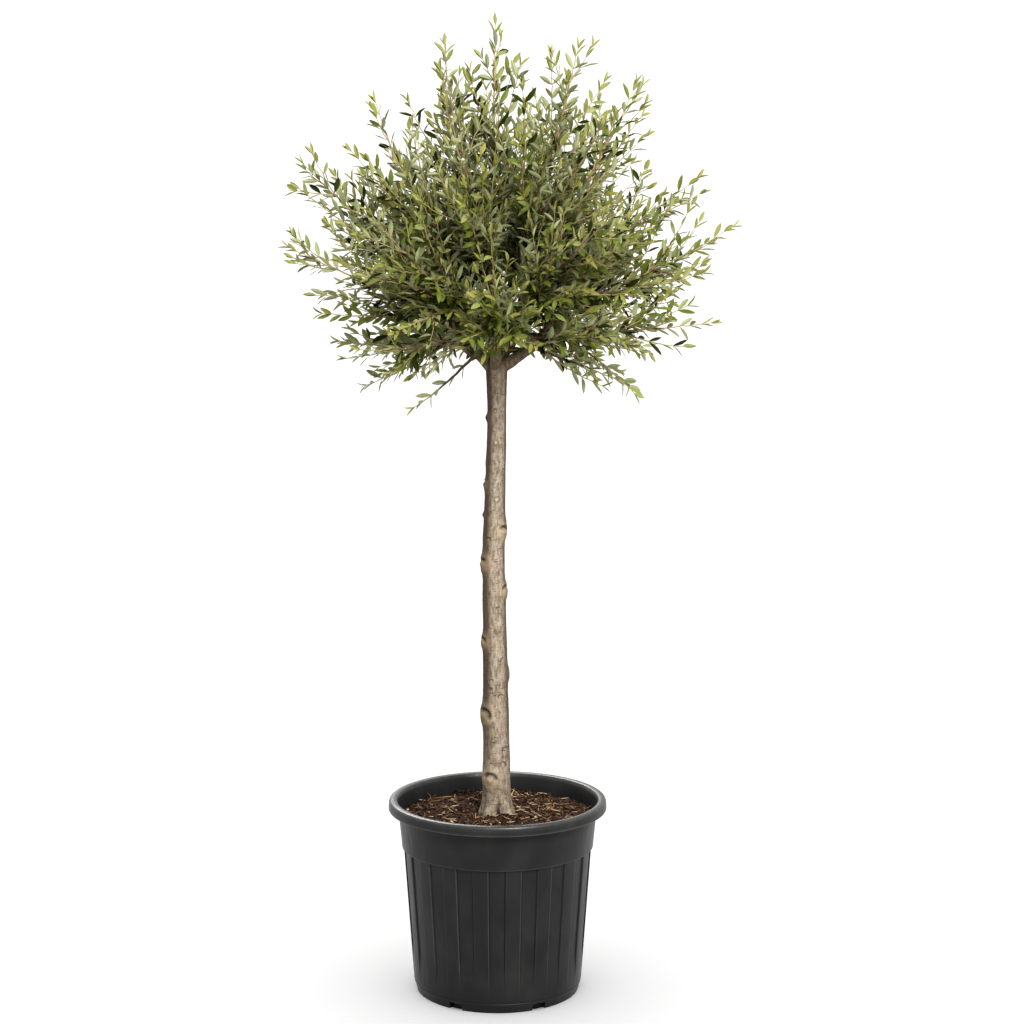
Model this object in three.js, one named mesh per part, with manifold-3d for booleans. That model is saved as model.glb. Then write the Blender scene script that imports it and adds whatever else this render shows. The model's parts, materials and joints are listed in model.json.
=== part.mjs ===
// Potted standard olive tree: a clear straight stem with a round head of leafy
// shoots, growing in a ribbed round nursery container filled with potting soil.
//
// Millimetres, +Z up. The origin is the centre of the container's underside, on
// the surface it stands on. -Y is the front, +X is to the right.
//
// The container, the soil, the stem, every bough and every mass of foliage is
// one closed solid. Neighbouring solids keep a small gap, so none overlap.

import * as THREE from "three";
import { mergeVertices } from "three/addons/utils/BufferGeometryUtils.js";
import Module from "manifold-3d";

const wasm = await Module();
wasm.setup();

// ---------------------------------------------------------------- dimensions

const GAP = 0.5; // clearance between touching solids

const POT = {
  height: 371,
  lipRadius: 207.5,
  lipHeight: 19.5,
  mouthRadius: 190.3,
  bandTopRadius: 189,
  bandFootRadius: 181.7,
  bandFoot: 279.5,
  bodyTopRadius: 178.6,
  bodyFootRadius: 160.2,
  footRadius: 155,
  footHeight: 22.5,
  wall: 3.4,
  floor: 4,
};

const RIB_PANELS = 36; // raised and sunk panels together, alternating
const RIB_DEPTH = 2.2; // how far a sunk panel lies below a raised one
const RIB_STEP_DEG = 1; // width of the slope between two panels
const RIBS_FULL = 110; // height from which the ribs have their whole depth

const NOTCHES = 6; // drainage notches through the wall and floor, at the foot
const NOTCH = { width: 30, height: 10, depth: 26 };

const SOIL = {
  edgeHeight: 338,
  crownHeight: 345,
  crownRadius: 60,
  play: 1.4, // clearance inside the wall
  sides: 20,
};

const STEM = {
  foot: SOIL.crownHeight + GAP,
  head: 1206,
  radiusLow: 25.1, // at heightLow, above the root flare
  heightLow: 463,
  taper: 0.01184, // radius lost for each millimetre of height
  flare: 10.5, // extra radius at the soil
  flareHeight: 28,
  headSwell: 4.2, // extra radius where the boughs leave
  sides: 12,
  steps: 14,
};

// The stem's sideways sweep: a shallow bow to the left, back to plumb at the head.
const STEM_SWEEP = [
  [-1, 0, STEM.foot],
  [-3, 2, 520],
  [-5, 3, 680],
  [-7, 0, 860],
  [-3, -3, 990],
  [-1, -1, 1075],
  [-1, 0, STEM.head],
];

const HEART = new THREE.Vector3(0, 0, 1250); // the point the crown radiates from
const HEAD = new THREE.Vector3(-1, 0, 1192); // where the boughs leave the stem

const BOUGH = { baseRadius: 11.5, endRadius: 6.5, sides: 6, steps: 3 };
const LIMB = { baseRadius: 6, endRadius: 3.8, sides: 5, steps: 2 };

// The main boughs. Each ends in the first of its masses, and carries the rest
// on side limbs. Azimuth is in degrees from +X towards +Y; rise is the
// elevation at which the bough leaves the stem.
//
// A mass is [name, azimuth, elevation, reach, girth]: the direction of its tip
// seen from the heart of the crown, how far out its tip is, and its half-width.
const BOUGHS = [
  {
    name: "bough_left",
    azimuth: 183,
    rise: 36,
    masses: [
      ["foliage_left", 184, 23, 438, 92],
      ["foliage_left_high", 174, 41, 502, 88],
      ["foliage_left_low", 172, -3, 318, 72],
      ["foliage_skirt_left", 206, -37, 238, 46],
    ],
  },
  {
    name: "bough_centre",
    azimuth: 120,
    rise: 84,
    masses: [
      ["foliage_top", 95, 87, 588, 84],
      ["foliage_top_left", 130, 74, 582, 84],
      ["foliage_upper_left", 200, 60, 500, 92],
      ["foliage_upper_front", -108, 62, 470, 88],
    ],
  },
  {
    name: "bough_right",
    azimuth: 8,
    rise: 52,
    masses: [
      ["foliage_upper_right", 14, 60, 550, 92],
      ["foliage_top_right", -40, 70, 574, 84],
      ["foliage_right_high", -6, 38, 492, 86],
      ["foliage_upper_back", 72, 58, 500, 92],
    ],
  },
  {
    name: "bough_right_low",
    azimuth: -22,
    rise: 24,
    masses: [
      ["foliage_right_low", -14, 4, 420, 80],
      ["foliage_right", 8, 24, 505, 88],
      ["foliage_skirt_right", -8, -20, 284, 54],
      ["foliage_front_right_low", -50, -6, 330, 78],
    ],
  },
  {
    name: "bough_front",
    azimuth: -98,
    rise: 40,
    masses: [
      ["foliage_front", -90, 14, 400, 94],
      ["foliage_front_right", -52, 34, 440, 94],
      ["foliage_front_left", -130, 34, 432, 94],
      ["foliage_front_left_low", -140, -2, 345, 82],
    ],
  },
  {
    name: "bough_back",
    azimuth: 84,
    rise: 42,
    masses: [
      ["foliage_back", 90, 12, 410, 94],
      ["foliage_back_right", 46, 30, 450, 94],
      ["foliage_back_left", 134, 36, 455, 94],
      ["foliage_back_right_low", 44, -5, 375, 88],
      ["foliage_back_left_low", 136, -2, 370, 88],
    ],
  },
];

const MASS_INNER = 0.27; // a mass begins this share of its reach out from the heart
const MASS_DETAIL = 2; // subdivision of the icosahedron a mass is shaped from
const MASS_SPACING = 0.03; // share of its size by which a mass keeps others off

// ----------------------------------------------------------------- materials

const finish = (color, roughness) =>
  new THREE.MeshStandardMaterial({ color, roughness, metalness: 0 });

const MATERIAL = {
  pot: finish(0x2f3032, 0.55),
  soil: finish(0x3d2719, 0.95),
  bark: finish(0xa99c87, 0.85),
  foliage: finish(0x57663a, 0.7),
};

// ------------------------------------------------------------------- helpers

/** A closed three.js geometry as a manifold solid. */
function solidOf(geometry) {
  const bare = new THREE.BufferGeometry();
  bare.setAttribute("position", geometry.getAttribute("position"));
  if (geometry.index) bare.setIndex(geometry.index);
  const merged = mergeVertices(bare, 1e-3);
  return new wasm.Manifold(
    new wasm.Mesh({
      numProp: 3,
      vertProperties: merged.attributes.position.array,
      triVerts: new Uint32Array(merged.index.array),
    }),
  );
}

/** A manifold solid as a three.js geometry. */
function geometryOf(solid) {
  const { vertProperties, triVerts, numProp } = solid.getMesh();
  const corners = new Float32Array((vertProperties.length / numProp) * 3);
  for (let i = 0; i < corners.length / 3; i++)
    corners.set(vertProperties.subarray(i * numProp, i * numProp + 3), i * 3);
  const geometry = new THREE.BufferGeometry();
  geometry.setAttribute("position", new THREE.BufferAttribute(corners, 3));
  geometry.setIndex(new THREE.BufferAttribute(new Uint32Array(triVerts), 1));
  geometry.computeVertexNormals();
  return geometry;
}

/** The solid less each cutter. Where a cut leaves crumbs, the largest piece stays. */
function cut(solid, cutters) {
  let left = solid;
  for (const cutter of cutters) left = left.subtract(cutter);
  return left.decompose().reduce((a, b) => (b.volume() > a.volume() ? b : a));
}

/** A named mesh of the model. */
function piece(name, geometry, material) {
  const mesh = new THREE.Mesh(geometry, material);
  mesh.name = name;
  return mesh;
}

/** A lathe about the Z axis from [radius, height] pairs, its seam at the front. */
function lathe(profile, segments) {
  const points = profile.map(([r, z]) => new THREE.Vector2(r, z));
  return new THREE.LatheGeometry(points, segments).rotateX(Math.PI / 2);
}

/** The unit vector at an azimuth from +X and an elevation above level, in degrees. */
function bearing(azimuth, elevation) {
  const a = THREE.MathUtils.degToRad(azimuth);
  const e = THREE.MathUtils.degToRad(elevation);
  return new THREE.Vector3(
    Math.cos(a) * Math.cos(e),
    Math.sin(a) * Math.cos(e),
    Math.sin(e),
  );
}

/** A point set at an angle round the Z axis, in degrees from the front towards +X. */
function roundTheFront(degrees, radius, height) {
  const a = THREE.MathUtils.degToRad(degrees);
  return new THREE.Vector3(radius * Math.sin(a), -radius * Math.cos(a), height);
}

/**
 * A cylinder with its axis bent along a line. frameAt(share, row) gives a ring's
 * centre and its two spokes, radiusAt(share, angle) the half-width there.
 */
function bentCylinder(frameAt, radiusAt, sides, steps) {
  const geometry = new THREE.CylinderGeometry(1, 1, 1, sides, steps);
  const place = geometry.getAttribute("position");
  for (let i = 0; i < place.count; i++) {
    const row = Math.round((place.getY(i) + 0.5) * steps);
    const share = row / steps;
    const angle = Math.atan2(place.getX(i), place.getZ(i));
    const spoke = Math.hypot(place.getX(i), place.getZ(i));
    const radius = spoke * radiusAt(share, angle);
    const { centre, first, second } = frameAt(share, row);
    const at = centre
      .clone()
      .addScaledVector(first, radius * Math.cos(angle))
      .addScaledVector(second, radius * Math.sin(angle));
    place.setXYZ(i, at.x, at.y, at.z);
  }
  return geometry;
}

// ----------------------------------------------------------------- container

/** Radius of the ribbed body's raised panels at a height. */
function bodyRadius(height) {
  const share = (height - POT.footHeight) / (POT.bandFoot - POT.footHeight);
  return THREE.MathUtils.lerp(POT.bodyFootRadius, POT.bodyTopRadius, share);
}

/** The container's section: underside, outside, lip, inside and floor. */
function potProfile() {
  const lipFoot = POT.height - POT.lipHeight;
  const ribHeights = [POT.footHeight, RIBS_FULL, POT.bandFoot - 3.5];
  return [
    [0, 0],
    [POT.footRadius, 0],
    ...ribHeights.map((z) => [bodyRadius(z), z]),
    [POT.bandFootRadius, POT.bandFoot],
    [POT.bandTopRadius, lipFoot],
    [POT.lipRadius, lipFoot],
    [POT.lipRadius, POT.height - 4.5],
    [POT.lipRadius - 4.5, POT.height],
    [POT.mouthRadius, POT.height],
    ...innerWall(),
    [0, POT.floor],
  ];
}

/** The inside of the wall from under the lip down to the floor. */
function innerWall() {
  return [
    [POT.bandTopRadius - POT.wall, POT.height - 26],
    [POT.bodyTopRadius - POT.wall, POT.bandFoot - 3.5],
    [POT.footRadius - POT.wall, POT.floor],
  ];
}

/** Pairs a lathe's columns up at the panels' edges and sinks every other panel. */
function ribbed(geometry, profile) {
  const place = geometry.getAttribute("position");
  const panelDeg = 360 / RIB_PANELS;
  for (let i = 0; i < place.count; i++) {
    const column = Math.floor(i / profile.length) % (RIB_PANELS * 2);
    const [radius, height] = profile[i % profile.length];
    const panel = Math.floor(column / 2);
    const edge = column % 2 ? panelDeg - RIB_STEP_DEG / 2 : RIB_STEP_DEG / 2;
    const onBody = radius >= bodyRadius(height) && height < POT.bandFoot;
    const grown = (height - POT.footHeight) / (RIBS_FULL - POT.footHeight);
    const depth = RIB_DEPTH * THREE.MathUtils.clamp(grown, 0, 1);
    const sunk = onBody && panel % 2 === 0 ? depth : 0;
    const degrees = (panel - 0.5) * panelDeg + edge;
    place.setXYZ(i, ...roundTheFront(degrees, radius - sunk, height));
  }
  return geometry;
}

/** The cutters of the drainage notches at the container's foot. */
function notchCutters() {
  const cutters = [];
  for (let k = 0; k < NOTCHES; k++) {
    const degrees = (360 / NOTCHES) * (k + 0.5);
    const notch = new THREE.BoxGeometry(NOTCH.width, NOTCH.depth, NOTCH.height);
    notch.rotateZ(THREE.MathUtils.degToRad(degrees));
    const middle = NOTCH.height / 2 - 1;
    notch.translate(...roundTheFront(degrees, POT.footRadius, middle));
    cutters.push(solidOf(notch));
  }
  return cutters;
}

function makePot() {
  const profile = potProfile();
  const shell = ribbed(lathe(profile, RIB_PANELS * 2), profile);
  return piece(
    "pot",
    geometryOf(cut(solidOf(shell), notchCutters())),
    MATERIAL.pot,
  );
}

/** The potting soil: it fills the container to a low mound round the stem. */
function makeSoil() {
  const [top, middle, bottom] = innerWall();
  const slope = (top[0] - middle[0]) / (top[1] - middle[1]);
  const edge = middle[0] + slope * (SOIL.edgeHeight - middle[1]) - SOIL.play;
  const profile = [
    [0, POT.floor + GAP],
    [bottom[0] - SOIL.play, POT.floor + GAP],
    [middle[0] - SOIL.play, middle[1]],
    [edge, SOIL.edgeHeight],
    [SOIL.crownRadius, SOIL.crownHeight],
    [0, SOIL.crownHeight],
  ];
  return piece("potting_soil", lathe(profile, SOIL.sides), MATERIAL.soil);
}

// ---------------------------------------------------------------- stem, boughs

const stemCurve = new THREE.CatmullRomCurve3(
  STEM_SWEEP.map((p) => new THREE.Vector3(...p)),
);

/** The height of the stem's ring at a share of its length: closer at both ends. */
function stemHeight(share) {
  const eased = (1 - Math.cos(Math.PI * share)) / 2;
  return THREE.MathUtils.lerp(STEM.foot, STEM.head, eased);
}

/** The stem's half-width: taper, root flare in buttresses, and a swollen head. */
function stemRadius(share, angle) {
  const height = stemHeight(share);
  const taper = STEM.radiusLow - STEM.taper * (height - STEM.heightLow);
  const buttress = 1 + 0.22 * Math.cos(4 * angle + 0.6);
  const flare = STEM.flare * Math.exp((STEM.foot - height) / STEM.flareHeight);
  const swell =
    STEM.headSwell *
    THREE.MathUtils.smoothstep(height, STEM.head - 70, STEM.head - 14);
  const rounding = share === 1 ? 0.72 : 1;
  return (taper + flare * buttress + swell) * rounding;
}

/** The stem as a solid with level rings, `grown` millimetres fatter all round. */
function stemSolid(grown = 0) {
  const first = new THREE.Vector3(1, 0, 0);
  const second = new THREE.Vector3(0, 1, 0);
  const frameAt = (share) => {
    const height = stemHeight(share);
    const along = (height - STEM.foot) / (STEM.head - STEM.foot);
    const centre = stemCurve.getPointAt(along).setZ(height);
    return { centre, first, second };
  };
  const radiusAt = (share, angle) => stemRadius(share, angle) + grown;
  return solidOf(bentCylinder(frameAt, radiusAt, STEM.sides, STEM.steps));
}

/** A tapering limb as a solid, `grown` millimetres fatter and longer. */
function limbSolid(curve, size, grown = 0) {
  const line = grown ? lengthened(curve, grown) : curve;
  const { normals, binormals } = line.computeFrenetFrames(size.steps, false);
  const frameAt = (share, row) => ({
    centre: line.getPointAt(share),
    first: normals[row],
    second: binormals[row],
  });
  const radiusAt = (share) =>
    THREE.MathUtils.lerp(size.baseRadius, size.endRadius, share) + grown;
  return solidOf(bentCylinder(frameAt, radiusAt, size.sides, size.steps));
}

/** The curve with its far end carried on by a length. */
function lengthened(curve, by) {
  const end = curve.v2.clone().addScaledVector(curve.getTangent(1), by);
  return new THREE.QuadraticBezierCurve3(curve.v0, curve.v1, end);
}

/** The point at the inner end of a mass where its limb enters it. */
function entryOf([, azimuth, elevation, reach]) {
  const depth = reach * MASS_INNER - 2 * GAP;
  return HEART.clone().addScaledVector(bearing(azimuth, elevation), depth);
}

/** A limb's line: it leaves `from` along `heading` and bends to reach `to`. */
function limbCurve(from, heading, to) {
  const bend = from
    .clone()
    .addScaledVector(heading, 0.45 * from.distanceTo(to));
  return new THREE.QuadraticBezierCurve3(from, bend, to);
}

/** Every bough and side limb as {name, curve, size}, parents before children. */
function planLimbs() {
  const limbs = [];
  for (const bough of BOUGHS) {
    const [first, ...others] = bough.masses;
    const heading = bearing(bough.azimuth, bough.rise);
    const main = limbCurve(HEAD, heading, entryOf(first));
    limbs.push({ name: bough.name, curve: main, size: BOUGH });
    others.forEach((mass, k) => {
      const share = 0.42 + (0.34 * k) / Math.max(1, others.length - 1);
      const from = main.getPointAt(share);
      const away = entryOf(mass).sub(from).normalize();
      const side = main.getTangentAt(share).add(away).normalize();
      const curve = limbCurve(from, side, entryOf(mass));
      const name = mass[0].replace("foliage", "limb");
      limbs.push({ name, curve, size: LIMB });
    });
  }
  return limbs;
}

// ------------------------------------------------------------------- foliage

/**
 * One mass of foliage as a solid: an uneven spindle from near the heart of the
 * crown to its tip, widest at about two thirds, with lobes that differ from
 * mass to mass by its own direction. `swell` scales it about its middle.
 */
function massSolid([, azimuth, elevation, reach, girth], swell = 1) {
  const axis = bearing(azimuth, elevation);
  const side = new THREE.Vector3(0, 0, 1).cross(axis).normalize();
  const up = axis.clone().cross(side);
  const inner = reach * MASS_INNER;
  const phase = THREE.MathUtils.degToRad(azimuth * 3 + elevation * 5);
  const middle = HEART.clone().addScaledVector(axis, (inner + reach) / 2);
  const shape = pointedIcosahedron();
  const place = shape.getAttribute("position");
  for (let i = 0; i < place.count; i++) {
    const along = (place.getZ(i) + 1) / 2;
    const spoke = Math.hypot(place.getX(i), place.getY(i));
    const angle = Math.atan2(place.getY(i), place.getX(i));
    const lobes =
      1 +
      0.2 * Math.sin(3 * angle + phase) * along +
      0.13 * Math.sin(5 * angle - 2 * phase + 6 * along);
    const pointed = THREE.MathUtils.lerp(0.5, 1.27, along);
    const width = spoke * girth * lobes * pointed;
    const at = HEART.clone()
      .addScaledVector(axis, THREE.MathUtils.lerp(inner, reach, along))
      .addScaledVector(side, width * Math.cos(angle))
      .addScaledVector(up, width * Math.sin(angle));
    at.sub(middle).multiplyScalar(swell).add(middle);
    place.setXYZ(i, at.x, at.y, at.z);
  }
  return solidOf(shape);
}

/** A subdivided icosahedron with one of its corners at +Z. */
function pointedIcosahedron() {
  const golden = (1 + Math.sqrt(5)) / 2;
  const corner = new THREE.Vector3(-1, golden, 0).normalize();
  const turn = new THREE.Quaternion().setFromUnitVectors(
    corner,
    new THREE.Vector3(0, 0, 1),
  );
  return new THREE.IcosahedronGeometry(1, MASS_DETAIL).applyQuaternion(turn);
}

// ------------------------------------------------------------------ assembly

function makeTree(tree) {
  tree.add(piece("trunk", geometryOf(stemSolid()), MATERIAL.bark));
  const wood = [stemSolid(GAP)];
  for (const { name, curve, size } of planLimbs()) {
    const limb = cut(limbSolid(curve, size), wood);
    tree.add(piece(name, geometryOf(limb), MATERIAL.bark));
    wood.push(limbSolid(curve, size, GAP));
  }
  const taken = [];
  for (const mass of BOUGHS.flatMap((bough) => bough.masses)) {
    const solid = cut(massSolid(mass), [...wood, ...taken]);
    tree.add(piece(mass[0], geometryOf(solid), MATERIAL.foliage));
    taken.push(massSolid(mass, 1 + MASS_SPACING));
  }
}

const olive = new THREE.Group();
olive.name = "potted_olive_tree";
olive.add(makePot(), makeSoil());
makeTree(olive);

export default olive;
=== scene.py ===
"""Looks of a potted standard olive tree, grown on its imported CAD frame.

The frame gives the container, the soil, the stem, the boughs and the outline of
every mass of foliage. This script replaces each of them: a moulded container, a
bed of bark fibre, bark with knots, and shoots that grow from the limbs' ends to
the surface of each mass by a seeded rule and carry opposite pairs of leaves.

Metres, +Z up, the front towards -Y. Sizes are named in millimetres (``_mm``).
"""

import json
import logging
import math
from dataclasses import dataclass, field
from enum import Enum
from typing import Iterable, Sequence

import bmesh
import bpy
import numpy as np
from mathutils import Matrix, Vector, noise

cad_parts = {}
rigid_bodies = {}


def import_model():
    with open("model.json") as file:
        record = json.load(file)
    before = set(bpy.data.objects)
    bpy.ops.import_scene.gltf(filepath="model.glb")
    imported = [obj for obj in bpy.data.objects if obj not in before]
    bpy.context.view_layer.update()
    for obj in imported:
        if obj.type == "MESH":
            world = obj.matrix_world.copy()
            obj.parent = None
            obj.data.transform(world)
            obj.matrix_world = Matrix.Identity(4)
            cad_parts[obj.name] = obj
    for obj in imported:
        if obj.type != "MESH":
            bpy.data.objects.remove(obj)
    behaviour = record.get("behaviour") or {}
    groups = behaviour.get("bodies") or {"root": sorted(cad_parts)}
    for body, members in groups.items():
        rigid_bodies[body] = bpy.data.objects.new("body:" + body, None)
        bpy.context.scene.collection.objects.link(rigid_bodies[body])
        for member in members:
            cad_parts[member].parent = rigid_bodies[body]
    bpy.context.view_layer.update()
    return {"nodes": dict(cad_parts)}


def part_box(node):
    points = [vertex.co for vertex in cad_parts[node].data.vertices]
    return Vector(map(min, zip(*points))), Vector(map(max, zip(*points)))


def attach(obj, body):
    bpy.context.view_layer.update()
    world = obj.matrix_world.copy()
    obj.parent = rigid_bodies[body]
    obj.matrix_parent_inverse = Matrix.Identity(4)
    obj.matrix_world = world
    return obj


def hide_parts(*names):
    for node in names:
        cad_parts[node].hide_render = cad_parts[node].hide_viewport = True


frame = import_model()

log = logging.getLogger("olive")
logging.basicConfig(level=logging.INFO, format="%(name)s: %(message)s")

MM = 0.001
SEED = 20
UP = np.array([0.0, 0.0, 1.0])
GOLDEN_ANGLE = math.pi * (3 - math.sqrt(5))


# --------------------------------------------------------------------- helpers


def linear(hex_colour: str) -> tuple[float, float, float, float]:
    """Turns an sRGB colour into the linear values Blender mixes light with.

    Args:
        hex_colour: Six hexadecimal digits with or without a leading #.

    Returns:
        Linear red, green, blue and an alpha of one.
    """
    digits = hex_colour.lstrip("#")
    shares = [int(digits[i : i + 2], 16) / 255 for i in (0, 2, 4)]
    lit = [s / 12.92 if s <= 0.04045 else ((s + 0.055) / 1.055) ** 2.4 for s in shares]
    return (lit[0], lit[1], lit[2], 1.0)


def unit(vectors: np.ndarray) -> np.ndarray:
    """Scales vectors to a length of one.

    Args:
        vectors: One vector or an array whose last axis holds them.

    Returns:
        The same directions at unit length.
    """
    lengths = np.linalg.norm(vectors, axis=-1, keepdims=True)
    return vectors / np.maximum(lengths, 1e-12)


def smoothstep(low: float, high: float, value: np.ndarray) -> np.ndarray:
    """Eases from zero at ``low`` to one at ``high``.

    Args:
        low: Where the rise starts.
        high: Where the rise ends.
        value: What is eased, one number or an array.

    Returns:
        The eased share.
    """
    share = np.clip((value - low) / (high - low), 0, 1)
    return share * share * (3 - 2 * share)


def node_vertices(name: str) -> np.ndarray:
    """Reads the corners of a CAD node.

    Args:
        name: The node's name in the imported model.

    Returns:
        An (n, 3) array of distinct corners in metres.
    """
    mesh = frame["nodes"][name].data
    corners = np.empty(len(mesh.vertices) * 3, np.float32)
    mesh.vertices.foreach_get("co", corners)
    return np.unique(corners.reshape(-1, 3).round(6), axis=0).astype(float)


def shown(obj: bpy.types.Object, replaced: Iterable[str]) -> bpy.types.Object:
    """Attaches a finished piece to the frame's root body and hides the CAD nodes it
    stands for.

    Args:
        obj: The piece, in place in the row frame.
        replaced: CAD nodes it stands for.

    Returns:
        The same object.
    """
    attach(obj, "root")
    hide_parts(*replaced)
    triangles = sum(len(p.vertices) - 2 for p in obj.data.polygons)
    log.info("%s: %d triangles", obj.name, triangles)
    return obj


# ------------------------------------------------------------------- materials


def add_node(
    tree: bpy.types.NodeTree,
    kind: str,
    settings: dict | None = None,
    inputs: dict | None = None,
    stops: Sequence[tuple[float, tuple]] = (),
) -> bpy.types.Node:
    """Adds a shader node with its settings, values and links.

    Args:
        tree: The material's node tree.
        kind: The node's type.
        settings: Property names and values.
        inputs: Socket names or numbers, each with a value or an output socket.
        stops: A colour ramp's places and colours, lowest first.

    Returns:
        The new node.
    """
    node = tree.nodes.new(kind)
    for key, value in (settings or {}).items():
        setattr(node, key, value)
    for key, value in (inputs or {}).items():
        if isinstance(value, bpy.types.NodeSocket):
            tree.links.new(value, node.inputs[key])
        else:
            node.inputs[key].default_value = value
    for number, (place, colour) in enumerate(stops):
        elements = node.color_ramp.elements
        element = elements[number] if number < 2 else elements.new(place)
        element.position = place
        element.color = colour
    return node


def grey(value: float) -> tuple[float, float, float, float]:
    """Makes a neutral ramp colour from a plain number."""
    return (value, value, value, 1.0)


def per_metre(*grain_mm: float) -> tuple[float, ...]:
    """Turns the width of one grain along X, Y and Z into a pattern's scale."""
    return tuple(1 / (width * MM) for width in grain_mm)


def new_material(name: str) -> tuple[bpy.types.Material, bpy.types.Node]:
    """Starts a node material.

    Args:
        name: The real material and finish it stands for.

    Returns:
        The material and its principled shader node.
    """
    material = bpy.data.materials.new(name)
    material.use_nodes = True
    return material, material.node_tree.nodes["Principled BSDF"]


@dataclass(frozen=True)
class PlainFinish:
    """A finish of one colour, for leaves, shoots and fibres."""

    name: str
    colour: str
    roughness: float = 0.5
    specular: float = 0.5

    def material(self) -> bpy.types.Material:
        """Makes the material.

        Returns:
            A material whose shader holds constant values only.
        """
        material, shader = new_material(self.name)
        shader.inputs["Base Color"].default_value = linear(self.colour)
        shader.inputs["Roughness"].default_value = self.roughness
        shader.inputs["Specular IOR Level"].default_value = self.specular
        material.diffuse_color = linear(self.colour)
        return material


MIX_COLOURS = {"data_type": "RGBA"}  # its factor is input 0, its colours 6 and 7
MIXED = 2  # its colour output


@dataclass(frozen=True)
class PotPlastic:
    """Charcoal moulded plastic: satin, with faint dust and draw marks."""

    name: str = "charcoal_moulded_plastic"
    colour: str = "#151516"
    dusty: str = "#2c2c2a"
    # Pale plastic of rubbed edges, which also stands as a painted highlight.
    worn: str = "#5a5955"
    # Near-black painted shade for the creases.
    crease: str = "#020202"

    def material(self) -> bpy.types.Material:
        """Makes the material.

        Returns:
            Dark satin plastic, scuffed pale and given a painted highlight along its
            edges, with painted shade black in its creases.
        """
        material, shader = new_material(self.name)
        tree = material.node_tree
        place = add_node(tree, "ShaderNodeTexCoord").outputs["Object"]
        # Dust lies in soft clouds a few centimetres wide.
        wide = {"Vector": place, "Scale": per_metre(60, 60, 90)}
        wide = add_node(tree, "ShaderNodeMapping", inputs=wide)
        cloud = {"Vector": wide.outputs[0], "Scale": 1.0, "Detail": 5.0}
        cloud = add_node(tree, "ShaderNodeTexNoise", inputs=cloud)
        stops = [(0.42, grey(0)), (0.8, grey(0.5))]
        share = {"Fac": cloud.outputs[0]}
        share = add_node(tree, "ShaderNodeValToRGB", inputs=share, stops=stops)
        dusted = {0: share.outputs[0], 6: linear(self.colour), 7: linear(self.dusty)}
        dusted = add_node(tree, "ShaderNodeMix", MIX_COLOURS, dusted)
        # Raised edges are rubbed pale here and there and carry a painted highlight,
        # stronger on the edges that face the key light, and the creases get painted
        # shade.
        rubs = {"Vector": place, "Scale": per_metre(14)[0], "Detail": 4.0}
        rubs = add_node(tree, "ShaderNodeTexNoise", inputs=rubs)
        stops = [(0.3, grey(0.5)), (0.7, grey(1))]
        rubs = {"Fac": rubs.outputs[0]}
        rubs = add_node(tree, "ShaderNodeValToRGB", inputs=rubs, stops=stops)
        edges = add_node(tree, "ShaderNodeAttribute", {"attribute_name": "worn"})
        rub_and_highlight = {0: edges.outputs["Fac"], 1: rubs.outputs[0]}
        rub_and_highlight = add_node(tree, "ShaderNodeMath", {"operation": "MULTIPLY"}, rub_and_highlight)
        worn = {0: rub_and_highlight.outputs[0], 6: dusted.outputs[MIXED], 7: linear(self.worn)}
        worn = add_node(tree, "ShaderNodeMix", MIX_COLOURS, worn)
        # Painted shade darkens the creases.
        crease_shade_node = add_node(tree, "ShaderNodeAttribute", {"attribute_name": "crease"})
        shaded = {0: crease_shade_node.outputs["Fac"], 6: worn.outputs[MIXED]}
        shaded[7] = linear(self.crease)
        shaded = add_node(tree, "ShaderNodeMix", MIX_COLOURS, shaded)
        tree.links.new(shaded.outputs[MIXED], shader.inputs["Base Color"])
        # Long upright streaks, as the tool leaves when the wall is drawn off it.
        tall = {"Vector": place, "Scale": per_metre(5, 5, 120)}
        tall = add_node(tree, "ShaderNodeMapping", inputs=tall)
        draw = {"Vector": tall.outputs[0], "Scale": 1.0, "Detail": 3.0}
        draw = add_node(tree, "ShaderNodeTexNoise", inputs=draw)
        stops = [(0.3, grey(0.32)), (0.7, grey(0.46))]
        rough = {"Fac": draw.outputs[0]}
        rough = add_node(tree, "ShaderNodeValToRGB", inputs=rough, stops=stops)
        tree.links.new(rough.outputs[0], shader.inputs["Roughness"])
        shader.inputs["Specular IOR Level"].default_value = 0.28
        # The mould's fine leather-like grain breaks the highlights up.
        fine = {"Vector": place, "Scale": per_metre(1, 1, 1)[0], "Detail": 2.0}
        fine = add_node(tree, "ShaderNodeTexNoise", inputs=fine)
        bump = {"Strength": 0.3, "Distance": 0.1 * MM, "Height": fine.outputs[0]}
        bump = add_node(tree, "ShaderNodeBump", inputs=bump)
        tree.links.new(bump.outputs["Normal"], shader.inputs["Normal"])
        return material


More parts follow.
